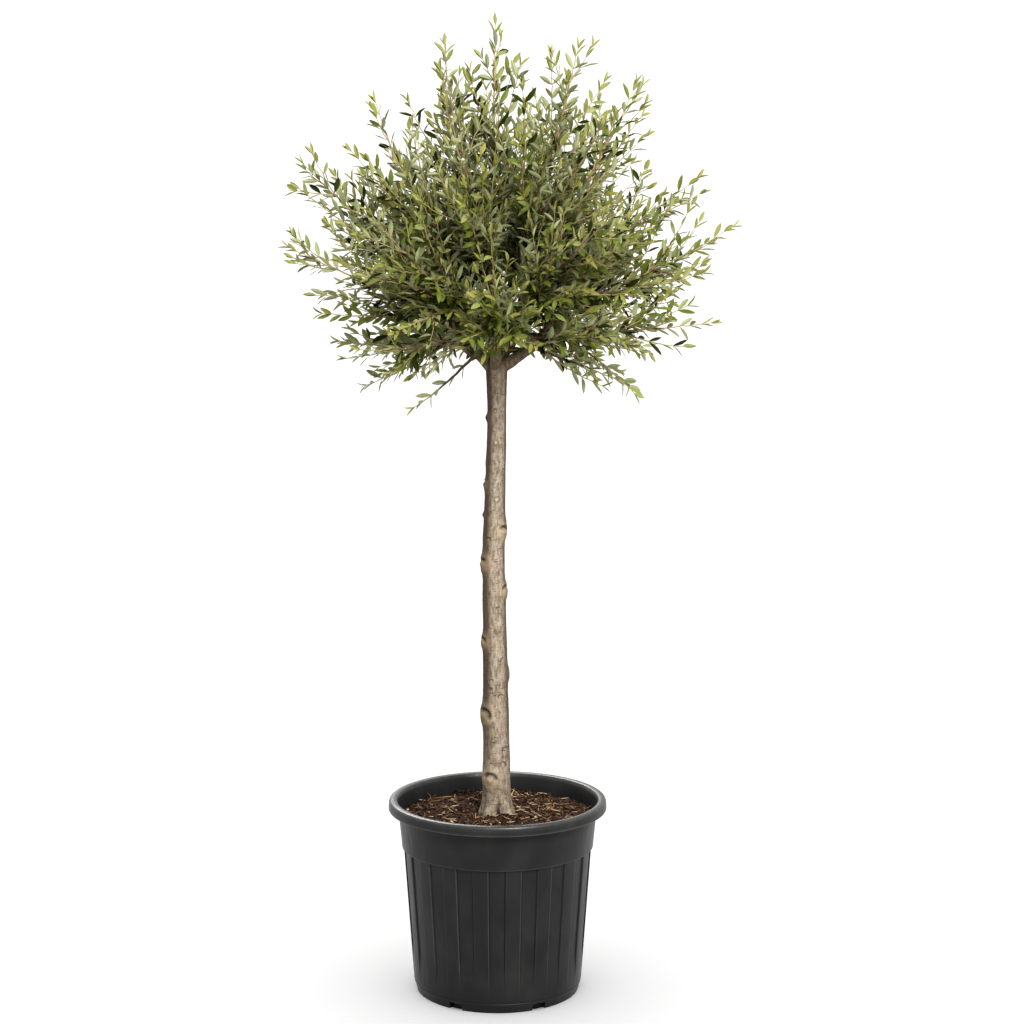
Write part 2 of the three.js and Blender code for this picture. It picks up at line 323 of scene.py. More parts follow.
@dataclass(frozen=True)
class PottingMix:
    """Moist peat and composted bark: dark brown with near-black painted shade in the
    hollows, warm brown crumbs.
    """

    name: str = "moist_peat_and_bark"
    # The peat's own dark brown, deepened to near-black as painted shade in the hollows.
    hollow: str = "#080402"
    crumb: str = "#302012"
    dry: str = "#573e29"

    def material(self) -> bpy.types.Material:
        """Makes the material.

        Returns:
            Rough crumbling earth.
        """
        material, shader = new_material(self.name)
        tree = material.node_tree
        place = add_node(tree, "ShaderNodeTexCoord").outputs["Object"]
        crumbs = {"Vector": place, "Scale": per_metre(6)[0], "Detail": 8.0}
        crumbs["Roughness"] = 0.7
        crumbs = add_node(tree, "ShaderNodeTexNoise", inputs=crumbs)
        # The low parts of the crumb pattern, which the bump sinks, take the near-black
        # painted shade.
        stops = [
            (0.36, linear(self.hollow)),
            (0.55, linear(self.crumb)),
            (0.78, linear(self.dry)),
        ]
        colour = {"Fac": crumbs.outputs[0]}
        colour = add_node(tree, "ShaderNodeValToRGB", inputs=colour, stops=stops)
        tree.links.new(colour.outputs[0], shader.inputs["Base Color"])
        shader.inputs["Roughness"].default_value = 0.95
        shader.inputs["Specular IOR Level"].default_value = 0.2
        # Crumbs stand up by a few millimetres and shade one another.
        bump = {"Strength": 1.0, "Distance": 5 * MM, "Height": crumbs.outputs[0]}
        bump = add_node(tree, "ShaderNodeBump", inputs=bump)
        tree.links.new(bump.outputs["Normal"], shader.inputs["Normal"])
        return material


@dataclass(frozen=True)
class OliveBark:
    """Smooth young olive bark: pale grey-beige, mottled, flecked with lenticels."""

    name: str = "young_olive_bark"
    pale: str = "#8f8475"
    mid: str = "#6a5e50"
    brown: str = "#382b1e"
    # Dark bark of folds and stubs, which also serves as painted shade in the folds and
    # root clefts.
    pit_and_shade: str = "#1d140c"
    heartwood: str = "#97876c"

    def material(self) -> bpy.types.Material:
        """Makes the material.

        Returns:
            Bark whose pits, healed scars and painted shade follow the mesh's own
            attributes.
        """
        material, shader = new_material(self.name)
        tree = material.node_tree
        place = add_node(tree, "ShaderNodeTexCoord").outputs["Object"]
        # Mottling half a centimetre wide, drawn out along the stem.
        cloud = {"Vector": place, "Scale": per_metre(5, 5, 15)}
        cloud = add_node(tree, "ShaderNodeMapping", inputs=cloud)
        cloud = {"Vector": cloud.outputs[0], "Scale": 1.0, "Detail": 9.0}
        cloud["Roughness"] = 0.68
        cloud = add_node(tree, "ShaderNodeTexNoise", inputs=cloud)
        stops = [
            (0.24, linear(self.brown)),
            (0.42, linear(self.mid)),
            (0.62, linear(self.pale)),
        ]
        skin = {"Fac": cloud.outputs[0]}
        skin = add_node(tree, "ShaderNodeValToRGB", inputs=skin, stops=stops)
        # Level wrinkles and lenticels: short flecks lying across the stem.
        level = {"Vector": place, "Scale": per_metre(9, 9, 2.2)}
        level = add_node(tree, "ShaderNodeMapping", inputs=level)
        wrinkle = {"Vector": level.outputs[0], "Scale": 1.0, "Detail": 4.0}
        wrinkle = add_node(tree, "ShaderNodeTexNoise", inputs=wrinkle)
        stops = [(0.32, grey(0.9)), (0.4, grey(0))]
        flecks = {"Fac": wrinkle.outputs[0]}
        flecks = add_node(tree, "ShaderNodeValToRGB", inputs=flecks, stops=stops)
        flecked = {0: flecks.outputs[0], 6: skin.outputs[0], 7: linear(self.brown)}
        flecked = add_node(tree, "ShaderNodeMix", MIX_COLOURS, flecked)
        # Painted shade: the sides turned away from the key light and the top under the
        # crown are mixed towards brown.
        sides = add_node(tree, "ShaderNodeAttribute", {"attribute_name": "painted_shade"})
        side_shaded = {0: sides.outputs["Fac"], 6: flecked.outputs[MIXED]}
        side_shaded[7] = linear(self.brown)
        flecked = add_node(tree, "ShaderNodeMix", MIX_COLOURS, side_shaded)
        # The folds over old buds are dark, partly in their own colour and partly by
        # painted shade, the clefts and hollows between the roots get painted shade, and
        # cut scars show pale wood.
        pits_and_shade = add_node(tree, "ShaderNodeAttribute", {"attribute_name": "pit_and_shade"})
        pitted_and_shaded = {0: pits_and_shade.outputs["Fac"], 6: flecked.outputs[MIXED]}
        pitted_and_shaded[7] = linear(self.pit_and_shade)
        pitted_and_shaded = add_node(tree, "ShaderNodeMix", MIX_COLOURS, pitted_and_shaded)
        scars = add_node(tree, "ShaderNodeAttribute", {"attribute_name": "scar"})
        scarred = {0: scars.outputs["Fac"], 6: pitted_and_shaded.outputs[MIXED]}
        scarred[7] = linear(self.heartwood)
        scarred = add_node(tree, "ShaderNodeMix", MIX_COLOURS, scarred)
        tree.links.new(scarred.outputs[MIXED], shader.inputs["Base Color"])
        shader.inputs["Roughness"].default_value = 0.8
        shader.inputs["Specular IOR Level"].default_value = 0.2
        bump = {"Strength": 0.8, "Distance": 1.4 * MM, "Height": wrinkle.outputs[0]}
        bump = add_node(tree, "ShaderNodeBump", inputs=bump)
        tree.links.new(bump.outputs["Normal"], shader.inputs["Normal"])
        return material


class LeafTone(Enum):
    """Plain colours of leaves, by age and by side."""

    # Dark green of old leaves, also dealt to leaves deep in the crown as painted shade.
    OLD_AND_SHADED = PlainFinish("leaf_old_and_shaded_dark_green", "#222a07", 0.5, 0.08)
    MATURE = PlainFinish("leaf_mature_green", "#515922", 0.45, 0.16)
    GREY = PlainFinish("leaf_mature_grey_green", "#6c7040", 0.45, 0.22)
    YOUNG = PlainFinish("leaf_young_green", "#6c6d33", 0.45, 0.18)
    FRESH = PlainFinish("leaf_fresh_yellow_green", "#77763f", 0.45, 0.18)
    UNDER = PlainFinish("leaf_underside_silver", "#868a67", 0.65, 0.1)
    UNDER_YOUNG = PlainFinish("leaf_underside_pale_green", "#7f8050", 0.65, 0.1)


class TwigTone(Enum):
    """Plain colours of the shoots, by age."""

    WOODY = PlainFinish("shoot_grey_brown_bark", "#62523f", 0.75, 0.15)
    TAN = PlainFinish("shoot_tan", "#8c7a57", 0.7, 0.15)
    GREEN = PlainFinish("shoot_yellow_green", "#8a8052", 0.6, 0.15)


class MulchTone(Enum):
    """Plain colours of the fibres and chips that lie on the soil."""

    STRAW = PlainFinish("fibre_dry_straw", "#9c876b", 0.75, 0.2)
    TAN = PlainFinish("fibre_tan", "#654d36", 0.8, 0.2)
    RUST = PlainFinish("chip_rust_brown", "#3f2b1f", 0.85, 0.1)
    DARK = PlainFinish("chip_dark_brown", "#1a110b", 0.9, 0.1)


# ---------------------------------------------------------------- mesh building


@dataclass
class TriangleSoup:
    """Many small things gathered into one mesh of triangles."""

    finishes: Sequence[PlainFinish]
    corners: list[np.ndarray] = field(default_factory=list)
    triangles: list[np.ndarray] = field(default_factory=list)
    tones: list[np.ndarray] = field(default_factory=list)
    count: int = 0

    def add(
        self, corners: np.ndarray, triangles: np.ndarray, tone: int | np.ndarray
    ) -> None:
        """Adds one thing, or many at once.

        Args:
            corners: (n, 3) positions.
            triangles: (m, 3) indices into ``corners``.
            tone: Index of the finish, one for all or one for each triangle.
        """
        self.corners.append(corners)
        self.triangles.append(triangles + self.count)
        self.tones.append(np.broadcast_to(tone, len(triangles)))
        self.count += len(corners)

    def build(self, name: str, smooth: bool) -> bpy.types.Object:
        """Makes the object.

        Args:
            name: The piece's name.
            smooth: Whether its faces are shaded as one round surface.

        Returns:
            The linked object at the origin.
        """
        corners = np.concatenate(self.corners).astype(np.float32)
        triangles = np.concatenate(self.triangles).astype(np.int32)
        tones = np.concatenate(self.tones).astype(np.int32)
        mesh = bpy.data.meshes.new(name)
        mesh.vertices.add(len(corners))
        mesh.vertices.foreach_set("co", corners.ravel())
        mesh.loops.add(triangles.size)
        mesh.loops.foreach_set("vertex_index", triangles.ravel())
        mesh.polygons.add(len(triangles))
        starts = np.arange(0, triangles.size, 3, dtype=np.int32)
        mesh.polygons.foreach_set("loop_start", starts)
        mesh.polygons.foreach_set("material_index", tones)
        mesh.polygons.foreach_set("use_smooth", np.full(len(triangles), smooth))
        mesh.update(calc_edges=True)
        for finish in self.finishes:
            mesh.materials.append(finish.material())
        obj = bpy.data.objects.new(name, mesh)
        bpy.context.collection.objects.link(obj)
        return obj


def wrap_grid(
    bm: bmesh.types.BMesh, places: np.ndarray, shares: dict[str, np.ndarray]
) -> None:
    """Adds a flat grid bent into a tube.

    Args:
        bm: The mesh it is added to.
        places: (rows, columns, 3) positions; the last column meets the first.
        shares: Attribute names, each with a (rows, columns) array of values.
    """
    rows, columns = places.shape[:2]
    floats = bm.verts.layers.float
    layers = {name: floats.get(name) or floats.new(name) for name in shares}
    made = bmesh.ops.create_grid(
        bm, x_segments=columns, y_segments=rows - 1, size=0.5
    )
    for vertex in made["verts"]:
        column = round((vertex.co.x + 0.5) * columns) % columns
        row = round((vertex.co.y + 0.5) * (rows - 1))
        vertex.co = places[row, column]
        for name, layer in layers.items():
            vertex[layer] = shares[name][row, column]
    bmesh.ops.remove_doubles(bm, verts=made["verts"], dist=1e-6)


def grown_object(
    name: str,
    grids: Iterable[np.ndarray],
    material: bpy.types.Material,
    shares: dict[str, np.ndarray] | None = None,
) -> bpy.types.Object:
    """Makes one smooth object of one or more closed tubes.

    Args:
        name: The piece's name.
        grids: Each tube's (rows, columns, 3) positions, its ends drawn to a point.
        material: The piece's material.
        shares: Attribute names, each with a (rows, columns) array of values.

    Returns:
        The linked object at the origin, with sharp edges marked.
    """
    bm = bmesh.new()
    for places in grids:
        wrap_grid(bm, places, shares or {})
    bmesh.ops.dissolve_degenerate(bm, edges=bm.edges, dist=1e-7)
    bmesh.ops.recalc_face_normals(bm, faces=bm.faces)
    for face in bm.faces:
        face.smooth = True
    mesh = bpy.data.meshes.new(name)
    bm.to_mesh(mesh)
    bm.free()
    mesh.set_sharp_from_angle(angle=math.radians(32))
    mesh.materials.append(material)
    obj = bpy.data.objects.new(name, mesh)
    bpy.context.collection.objects.link(obj)
    return obj


def ring_frames(points: np.ndarray) -> tuple[np.ndarray, np.ndarray, np.ndarray]:
    """Carries a pair of spokes along a line without twist.

    Args:
        points: (n, 3) places along the line.

    Returns:
        Tangents, first spokes and second spokes, each (n, 3).
    """
    tangents = unit(np.gradient(points, axis=0))
    start = np.cross(tangents[0], UP if abs(tangents[0][2]) < 0.9 else [1.0, 0, 0])
    spokes = [unit(start)]
    for tangent in tangents[1:]:
        spoke = spokes[-1] - tangent * np.dot(spokes[-1], tangent)
        spokes.append(unit(spoke))
    first = np.array(spokes)
    return tangents, first, np.cross(tangents, first)


def tube_rings(points: np.ndarray, radii: np.ndarray, sides: int) -> np.ndarray:
    """Lays rings of corners along a line.

    Args:
        points: (n, 3) places along the line.
        radii: Half-width at each place.
        sides: Corners in each ring.

    Returns:
        (n, sides, 3) positions.
    """
    _, first, second = ring_frames(points)
    angles = np.arange(sides) * 2 * math.pi / sides
    spokes = (
        first[:, None] * np.cos(angles)[None, :, None]
        + second[:, None] * np.sin(angles)[None, :, None]
    )
    return points[:, None] + spokes * radii[:, None, None]


def tube_triangles(rings: int, sides: int) -> np.ndarray:
    """Skins rings of corners, with a fan to one extra corner at the far end.

    Args:
        rings: Number of rings.
        sides: Corners in each ring.

    Returns:
        (m, 3) indices; the corner after the last ring closes the end.
    """
    here = np.arange(sides)
    following = (here + 1) % sides
    faces = []
    for row in range(rings - 1):
        low, high = row * sides, (row + 1) * sides
        faces.append(np.stack([low + here, low + following, high + following], 1))
        faces.append(np.stack([low + here, high + following, high + here], 1))
    last = (rings - 1) * sides
    end = np.full(sides, rings * sides)
    faces.append(np.stack([last + here, last + following, end], 1))
    return np.concatenate(faces)


def walk(points: np.ndarray) -> np.ndarray:
    """Measures the distance along a line to each of its points."""
    steps = np.linalg.norm(np.diff(points, axis=0), axis=1)
    return np.concatenate([[0], np.cumsum(steps)])


def bezier(
    start: np.ndarray, bend: np.ndarray, end: np.ndarray, count: int
) -> np.ndarray:
    """Points along a curve that leaves ``start`` towards ``bend`` and ends at ``end``.

    Args:
        start: First point.
        bend: Control point.
        end: Last point.
        count: Number of points.

    Returns:
        (count, 3) positions.
    """
    t = np.linspace(0, 1, count)[:, None]
    return (1 - t) ** 2 * start + 2 * t * (1 - t) * bend + t**2 * end


# ------------------------------------------------------------------- container


@dataclass(frozen=True)
class PotSize:
    """Sizes of the container's moulding, in millimetres and degrees."""

    panels: int = 36
    rib_depth_mm: float = 2.8
    rib_fade_mm: tuple[float, float] = (32.0, 100.0)
    foot_radius_mm: float = 154.7
    body_foot_radius_mm: float = 160.2
    body_top_radius_mm: float = 178.5
    band_foot_mm: float = 280.3
    band_foot_radius_mm: float = 181.9
    band_top_radius_mm: float = 188.6
    lip_height_mm: float = 19.4
    mouth_radius_mm: float = 190.3
    floor_mm: float = 11.0
    notches: int = 6
    notch_height_mm: float = 12.5
    notch_depth_mm: float = 7.0


class Container:
    """The ribbed round nursery container."""

    EDGE_DEG = (-0.5, -0.22, 0.22, 0.5)  # columns across the slope between panels
    EDGE_SHARE = (0.0, 0.12, 0.88, 1.0)  # how far each has crossed it
    EDGE_WEAR_AND_HIGHLIGHT = (0.12, 0.34)  # how pale a raised edge is rubbed and lit by a painted highlight, left- and right-facing

    def __init__(self, size: PotSize) -> None:
        """Reads the container's overall size from the frame.

        Args:
            size: Sizes of its moulding.
        """
        self.size = size
        _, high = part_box("pot")
        self.height_mm = high.z / MM
        self.lip_radius_mm = high.x / MM

    def columns(self) -> dict[str, np.ndarray]:
        """Places the columns of the grid round the wall.

        Returns:
            Angles in degrees from the front, and the share by which each column
            lies on a sunk panel, in a drain notch, on a panel's raised edge, which is
            rubbed pale and given a painted highlight, and in the crease beside it,
            which gets painted shade.
        """
        pitch = 360 / self.size.panels
        kept = {"angle": [], "sunk": [], "notched": [], "worn": [], "crease": []}
        for panel in range(self.size.panels):
            edge = (panel - 0.5) * pitch
            is_sunk = panel % 2 == 0
            in_notch = (panel * pitch) % 60 == 30
            was_notch = ((panel - 1) * pitch) % 60 == 30
            for offset, share in zip(self.EDGE_DEG, self.EDGE_SHARE):
                depth = share if is_sunk else 1 - share
                kept["angle"].append(edge + offset)
                kept["sunk"].append(depth)
                kept["notched"].append(share if in_notch else (1 - share) * was_notch)
                # Wear and a painted highlight on a raised edge, stronger where the edge
                # faces right, towards the key light.
                kept["worn"].append(self.EDGE_WEAR_AND_HIGHLIGHT[is_sunk] if depth < 0.5 else 0)
                # Painted shade in the crease at the foot of each step.
                kept["crease"].append(0 if depth < 0.5 else 1)
            for inner in (0.08, 0.28, 0.5, 0.72, 0.92):
                kept["angle"].append(edge + inner * pitch)
                kept["sunk"].append(is_sunk)
                kept["notched"].append(in_notch)
                kept["worn"].append(0)
                kept["crease"].append(0)
        return {name: np.array(values, float) for name, values in kept.items()}

    def section(self) -> np.ndarray:
        """Lists the wall's section from the underside round to the inner floor.

        Returns:
            (rows, 3) radii and heights in millimetres, and how each row looks:
            above zero where it is rubbed pale and given a painted highlight, below
            zero in a crease of painted shade.
        """
        s = self.size
        lip = self.lip_radius_mm
        top = self.height_mm
        lip_foot = top - s.lip_height_mm
        foot = s.foot_radius_mm
        pocket = foot - s.notch_depth_mm
        band = s.band_foot_mm
        body = [
            (self.body_radius(z), z, 0)
            for z in (22, 28, 40, 55, 72, 90, 115, 160, 205, 250, 272, 277.6)
        ]
        # Rows with a look below zero get painted shade: the drain pockets, the groove,
        # under the band and under the lip.
        return np.array(
            [
                (0, s.floor_mm, 0),
                (60, s.floor_mm, 0),
                (pocket - 4, s.floor_mm, 0),
                (pocket - 3, s.floor_mm - 1.2, 0),
                (pocket - 2, 0, 0),
                (pocket - 0.2, 0, -1),
                (pocket, 0, -1),
                (foot - 1, 0, 0),
                (foot, 0.8, 0),
                (foot + 1.8, 9, 0),
                (s.body_foot_radius_mm - 0.8, 17.6, 0),
                (s.body_foot_radius_mm - 1.4, 18.9, -0.6),
                (s.body_foot_radius_mm - 1.5, 19.7, -1),
                (s.body_foot_radius_mm - 0.5, 20.4, 0),
                *body,
                (s.body_top_radius_mm + 0.2, band - 1.6, -1),
                (s.band_foot_radius_mm - 1.6, band - 1.2, -0.6),
                (s.band_foot_radius_mm - 0.3, band - 0.7, 0.1),
                (s.band_foot_radius_mm, band + 0.5, 0.16),
                (s.band_foot_radius_mm + 0.2, band + 2.5, 0),
                (s.band_foot_radius_mm + 1.7, band + 20, 0),
                (s.band_top_radius_mm - 1.6, lip_foot - 18, 0),
                (s.band_top_radius_mm - 0.2, lip_foot - 4, 0),
                (s.band_top_radius_mm, lip_foot - 1.6, -0.6),
                (s.band_top_radius_mm + 1.2, lip_foot, -1),
                (lip - 2.2, lip_foot - 0.2, 0),
                (lip - 0.8, lip_foot + 0.2, 0.6),
                (lip - 0.1, lip_foot + 1.2, 0.5),
                (lip, lip_foot + 2.4, 0.1),
                (lip, lip_foot + 6, 0),
                (lip - 0.6, top - 5.5, 0.1),
                (lip - 1.6, top - 2.6, 0.3),
                (lip - 3.6, top - 0.8, 0.35),
                (lip - 6.5, top, 0.1),
                (s.mouth_radius_mm + 5, top - 0.2, 0.1),
                (s.mouth_radius_mm + 1.8, top - 1.2, 0.35),
                (s.mouth_radius_mm, top - 3.4, 0.3),
                (s.mouth_radius_mm - 1.6, top - 9, 0),
                (s.band_top_radius_mm - 3.2, lip_foot - 4, 0),
                (s.body_top_radius_mm - 3.2, band - 4, 0),
                (s.body_foot_radius_mm - 6.0, 20, 0),
                (foot - 7, s.floor_mm + 4, 0),
                (0, s.floor_mm + 4, 0),
            ]
        )

    def body_radius(self, height_mm: float) -> float:
        """Works out the radius of the raised panels.

        Args:
            height_mm: Height above the ground.

        Returns:
            The radius in millimetres.
        """
        s = self.size
        share = (height_mm - 22) / (s.band_foot_mm - 22)
        rise = s.body_top_radius_mm - s.body_foot_radius_mm
        return s.body_foot_radius_mm + share * rise

    def build(self, material: bpy.types.Material) -> bpy.types.Object:
        """Makes the container.

        Args:
            material: Its plastic.

        Returns:
            The piece, attached to the frame's root body.
        """
        s = self.size
        columns = self.columns()
        section = self.section()
        count = len(columns["angle"])
        radius, height, look = (np.repeat(c[:, None], count, 1) for c in section.T)
        rows = np.arange(len(section))[:, None]
        wall = (rows > 13) & (height < s.band_foot_mm - 0.9) & (rows < 31)
        fade = wall * smoothstep(*s.rib_fade_mm, height)
        radius = radius - fade * columns["sunk"] * s.rib_depth_mm
        foot = (rows > 5) & (rows < 10)
        lifted = np.maximum(height, s.notch_height_mm * columns["notched"])
        height = np.where(foot, lifted, height)
        turn = np.radians(columns["angle"])
        places = np.stack(
            [radius * np.sin(turn), -radius * np.cos(turn), height], axis=-1
        )
        # Wear and a painted highlight on the rims and raised edges, and painted shade in
        # the creases.
        shares = {
            "worn": np.maximum(look, fade * columns["worn"]),
            "crease": np.maximum(-look, 0.8 * fade * columns["crease"]),
        }
        obj = grown_object("container", [places * MM], material, shares)
        return shown(obj, ["pot"])


# ------------------------------------------------------------------------ soil


@dataclass(frozen=True)
class SoilSize:
    """Sizes of the soil's surface and of what lies on it, in millimetres."""

    rings: int = 70
    sectors: int = 220
    relief_mm: float = 6.0
    lump_mm: float = 30.0
    crumb_mm: float = 8.0
    edge_gap_mm: float = 0.8
    depth_mm: float = 30.0
    fibres: int = 560
    fibre_length_mm: tuple[float, float] = (13.0, 52.0)
    fibre_radius_mm: tuple[float, float] = (0.45, 1.05)
    chips: int = 1900
    chip_mm: tuple[float, float] = (1.5, 6.5)


class SoilBed:
    """The potting mix with its fibres and chips of bark."""

    def __init__(self, size: SoilSize, rng: np.random.Generator) -> None:
        """Reads the bed's place from the frame.

        Args:
            size: Sizes of the surface.
            rng: Seeded random numbers.
        """
        self.size = size
        self.rng = rng
        corners = node_vertices("potting_soil")
        reach = np.hypot(corners[:, 0], corners[:, 1])
        self.radius = reach.max() - size.edge_gap_mm * MM
        self.edge_height = corners[reach > 0.97 * reach.max()][:, 2].max()
        self.crown_height = corners[:, 2].max()

    def height(self, x: np.ndarray, y: np.ndarray) -> np.ndarray:
        """Works out the surface's height.

        Args:
            x: Places to the right, in metres.
            y: Places towards the back, in metres.

        Returns:
            Heights in metres.
        """
        s = self.size
        reach = np.hypot(x, y) / self.radius
        mound = self.edge_height + (self.crown_height - self.edge_height) * (
            1 - smoothstep(0.15, 1.0, reach)
        )
        rough = []
        for px, py in zip(x.ravel() / MM, y.ravel() / MM):
            lump = noise.fractal(
                Vector((px / s.lump_mm, py / s.lump_mm, 3.1)), 0.8, 2.0, 3
            )
            crumb = noise.noise(Vector((px / s.crumb_mm, py / s.crumb_mm, 7.7)))
            rough.append(lump + 0.45 * crumb)
        relief = np.reshape(rough, x.shape) * s.relief_mm * MM
        hollow = np.exp(-(((x + 0.05) / 0.022) ** 2) - ((y + 0.004) / 0.02) ** 2)
        return mound + relief - 9 * MM * hollow - 1.5 * MM

    def bed(self, material: bpy.types.Material) -> bpy.types.Object:
        """Makes the uneven surface with the bed below it.

        Args:
            material: The potting mix.

        Returns:
            The piece, attached to the frame's root body.
        """
        s = self.size
        reach = np.linspace(0, 1, s.rings)[:, None] * self.radius
        turn = np.arange(s.sectors)[None, :] * 2 * math.pi / s.sectors
        x, y = reach * np.cos(turn), reach * np.sin(turn)
        top = np.stack([x, y, self.height(x, y)], -1)
        skirt = top[-1:].copy()
        skirt[..., 2] = self.edge_height - s.depth_mm * MM
        centre = np.zeros_like(skirt)
        centre[..., 2] = self.edge_height - s.depth_mm * MM
        skirt[..., :2] *= 0.985
        places = np.concatenate([top, skirt, centre])
        return shown(
            grown_object("soil_bed", [places], material),
            ["potting_soil"],
        )

    def scatter(self, count: int, clear_mm: float) -> np.ndarray:
        """Picks places on the surface, clear of the stem.

        Args:
            count: How many places.
            clear_mm: Distance kept from the stem's axis.

        Returns:
            (count, 3) positions.
        """
        inner = clear_mm * MM / self.radius
        reach = self.radius * np.sqrt(self.rng.uniform(inner**2, 0.955, count))
        turn = self.rng.uniform(0, 2 * math.pi, count)
        x, y = reach * np.cos(turn), reach * np.sin(turn)
        return np.stack([x, y, self.height(x, y)], -1)

    def mulch(self) -> bpy.types.Object:
        """Makes the curled fibres and the chips that lie on the surface.

        Returns:
            The piece, attached to the frame's root body.
        """
        tones = list(MulchTone)
        soup = TriangleSoup([t.value for t in tones])
        for place in self.scatter(self.size.fibres, 40):
            tone = self.rng.choice(3, p=[0.3, 0.36, 0.34])
            soup.add(*self.fibre(place), tone)
        for place in self.scatter(self.size.chips, 36):
            tone = self.rng.choice(4, p=[0.02, 0.08, 0.4, 0.5])
            soup.add(*self.chip(place), tone)
        return shown(soup.build("bark_mulch", False), [])

    def fibre(self, place: np.ndarray) -> tuple[np.ndarray, np.ndarray]:
        """Shapes one curled fibre.

        Args:
            place: Its middle, on the surface.

        Returns:
            Its corners and triangles.
        """
        s, rng = self.size, self.rng
        length = rng.triangular(s.fibre_length_mm[0], 20, s.fibre_length_mm[1]) * MM
        heading = rng.uniform(0, 2 * math.pi)
        curl = rng.normal(0, 1.6)
        rise = rng.normal(0.05, 0.2)
        steps = np.linspace(-0.5, 0.5, 7)
        turn = heading + curl * steps
        walk = np.stack([np.cos(turn), np.sin(turn), rise + 0.5 * steps * rise], -1)
        points = np.cumsum(walk, 0) * length / 7
        points += place - points[3]
        radius = rng.uniform(*s.fibre_radius_mm) * MM
        points[:, 2] += radius + 0.8 * MM + (steps**2) * abs(curl) * 3 * MM
        radii = radius * np.array([0.35, 0.8, 1, 1, 1, 0.75, 0.3])
        rings = tube_rings(points, radii, 4)
        corners = np.concatenate([rings.reshape(-1, 3), points[-1:]])
        return self.within(corners), tube_triangles(7, 4)

    def within(self, corners: np.ndarray) -> np.ndarray:
        """Draws in whatever would stand past the soil's edge.

        Args:
            corners: (n, 3) positions.

        Returns:
            The same corners, none of them further out than the soil.
        """
        reach = np.hypot(corners[:, 0], corners[:, 1])
        drawn = np.minimum(1, self.radius / np.maximum(reach, MM))
        return corners * np.stack([drawn, drawn, np.ones_like(drawn)], -1)

    def chip(self, place: np.ndarray) -> tuple[np.ndarray, np.ndarray]:
        """Shapes one chip of bark.

        Args:
            place: Its middle, on the surface.

        Returns:
            Its corners and triangles.
        """
        rng = self.rng
        size = rng.triangular(self.size.chip_mm[0], 4, self.size.chip_mm[1]) * MM
        turn = rng.uniform(0, 2 * math.pi)
        along = np.array([math.cos(turn), math.sin(turn), rng.normal(0, 0.25)])
        across = np.array([-math.sin(turn), math.cos(turn), rng.normal(0, 0.25)])
        points = np.stack([-along, along, -0.7 * across, 0.7 * across, UP * 0.55])
        points = np.concatenate([points, -UP[None] * 0.4])
        points *= rng.uniform(0.6, 1.1, (6, 1)) * size
        faces = np.array(
            [
                (0, 2, 4),
                (2, 1, 4),
                (1, 3, 4),
                (3, 0, 4),
                (2, 0, 5),
                (1, 2, 5),
                (3, 1, 5),
                (0, 3, 5),
            ]
        )
        return self.within(points + place + UP * 0.2 * size), faces


# ------------------------------------------------------------------------ bark


class KnotKind(Enum):
    """What a shoot once cut off the stem has left behind."""

    SCAR = "scar"  # a healed round cut with pale wood in a raised ring
    LUMP = "lump"  # a swelling with a dark fold in it
    STUB = "stub"  # a small dark nub
    EYE = "eye"  # a dimple under a raised brow


@dataclass(frozen=True)
class Knot:
    """One mark on the stem."""

    kind: KnotKind
    height_mm: float
    bearing_deg: float  # round the stem from the front, towards the right
    size_mm: float


KNOTS = (
    Knot(KnotKind.EYE, 1110, -8, 7),
    Knot(KnotKind.STUB, 1097, -66, 7),
    Knot(KnotKind.SCAR, 1052, -2, 5),
    Knot(KnotKind.EYE, 998, 50, 6),
    Knot(KnotKind.EYE, 1002, 8, 5),
    Knot(KnotKind.LUMP, 972, -88, 10),
    Knot(KnotKind.SCAR, 946, 12, 6),
    Knot(KnotKind.STUB, 915, -80, 5),
    Knot(KnotKind.LUMP, 884, 52, 17),
    Knot(KnotKind.EYE, 868, -30, 9),
    Knot(KnotKind.LUMP, 822, -62, 18),
    Knot(KnotKind.LUMP, 772, 66, 16),
    Knot(KnotKind.EYE, 738, 20, 8),
    Knot(KnotKind.LUMP, 674, -64, 14),
    Knot(KnotKind.EYE, 640, 40, 8),
    Knot(KnotKind.EYE, 600, -20, 7),
    Knot(KnotKind.EYE, 569, 24, 10),
    Knot(KnotKind.LUMP, 534, -52, 21),
    Knot(KnotKind.EYE, 466, 44, 12),
    Knot(KnotKind.EYE, 438, 30, 11),
    Knot(KnotKind.LUMP, 411, -26, 20),
    Knot(KnotKind.LUMP, 900, 150, 16),
    Knot(KnotKind.SCAR, 700, 170, 9),
    Knot(KnotKind.LUMP, 610, 128, 17),
    Knot(KnotKind.LUMP, 1010, -150, 13),
    Knot(KnotKind.EYE, 500, -160, 11),
    Knot(KnotKind.EYE, 780, -140, 10),
    Knot(KnotKind.LUMP, 455, 175, 18),
)


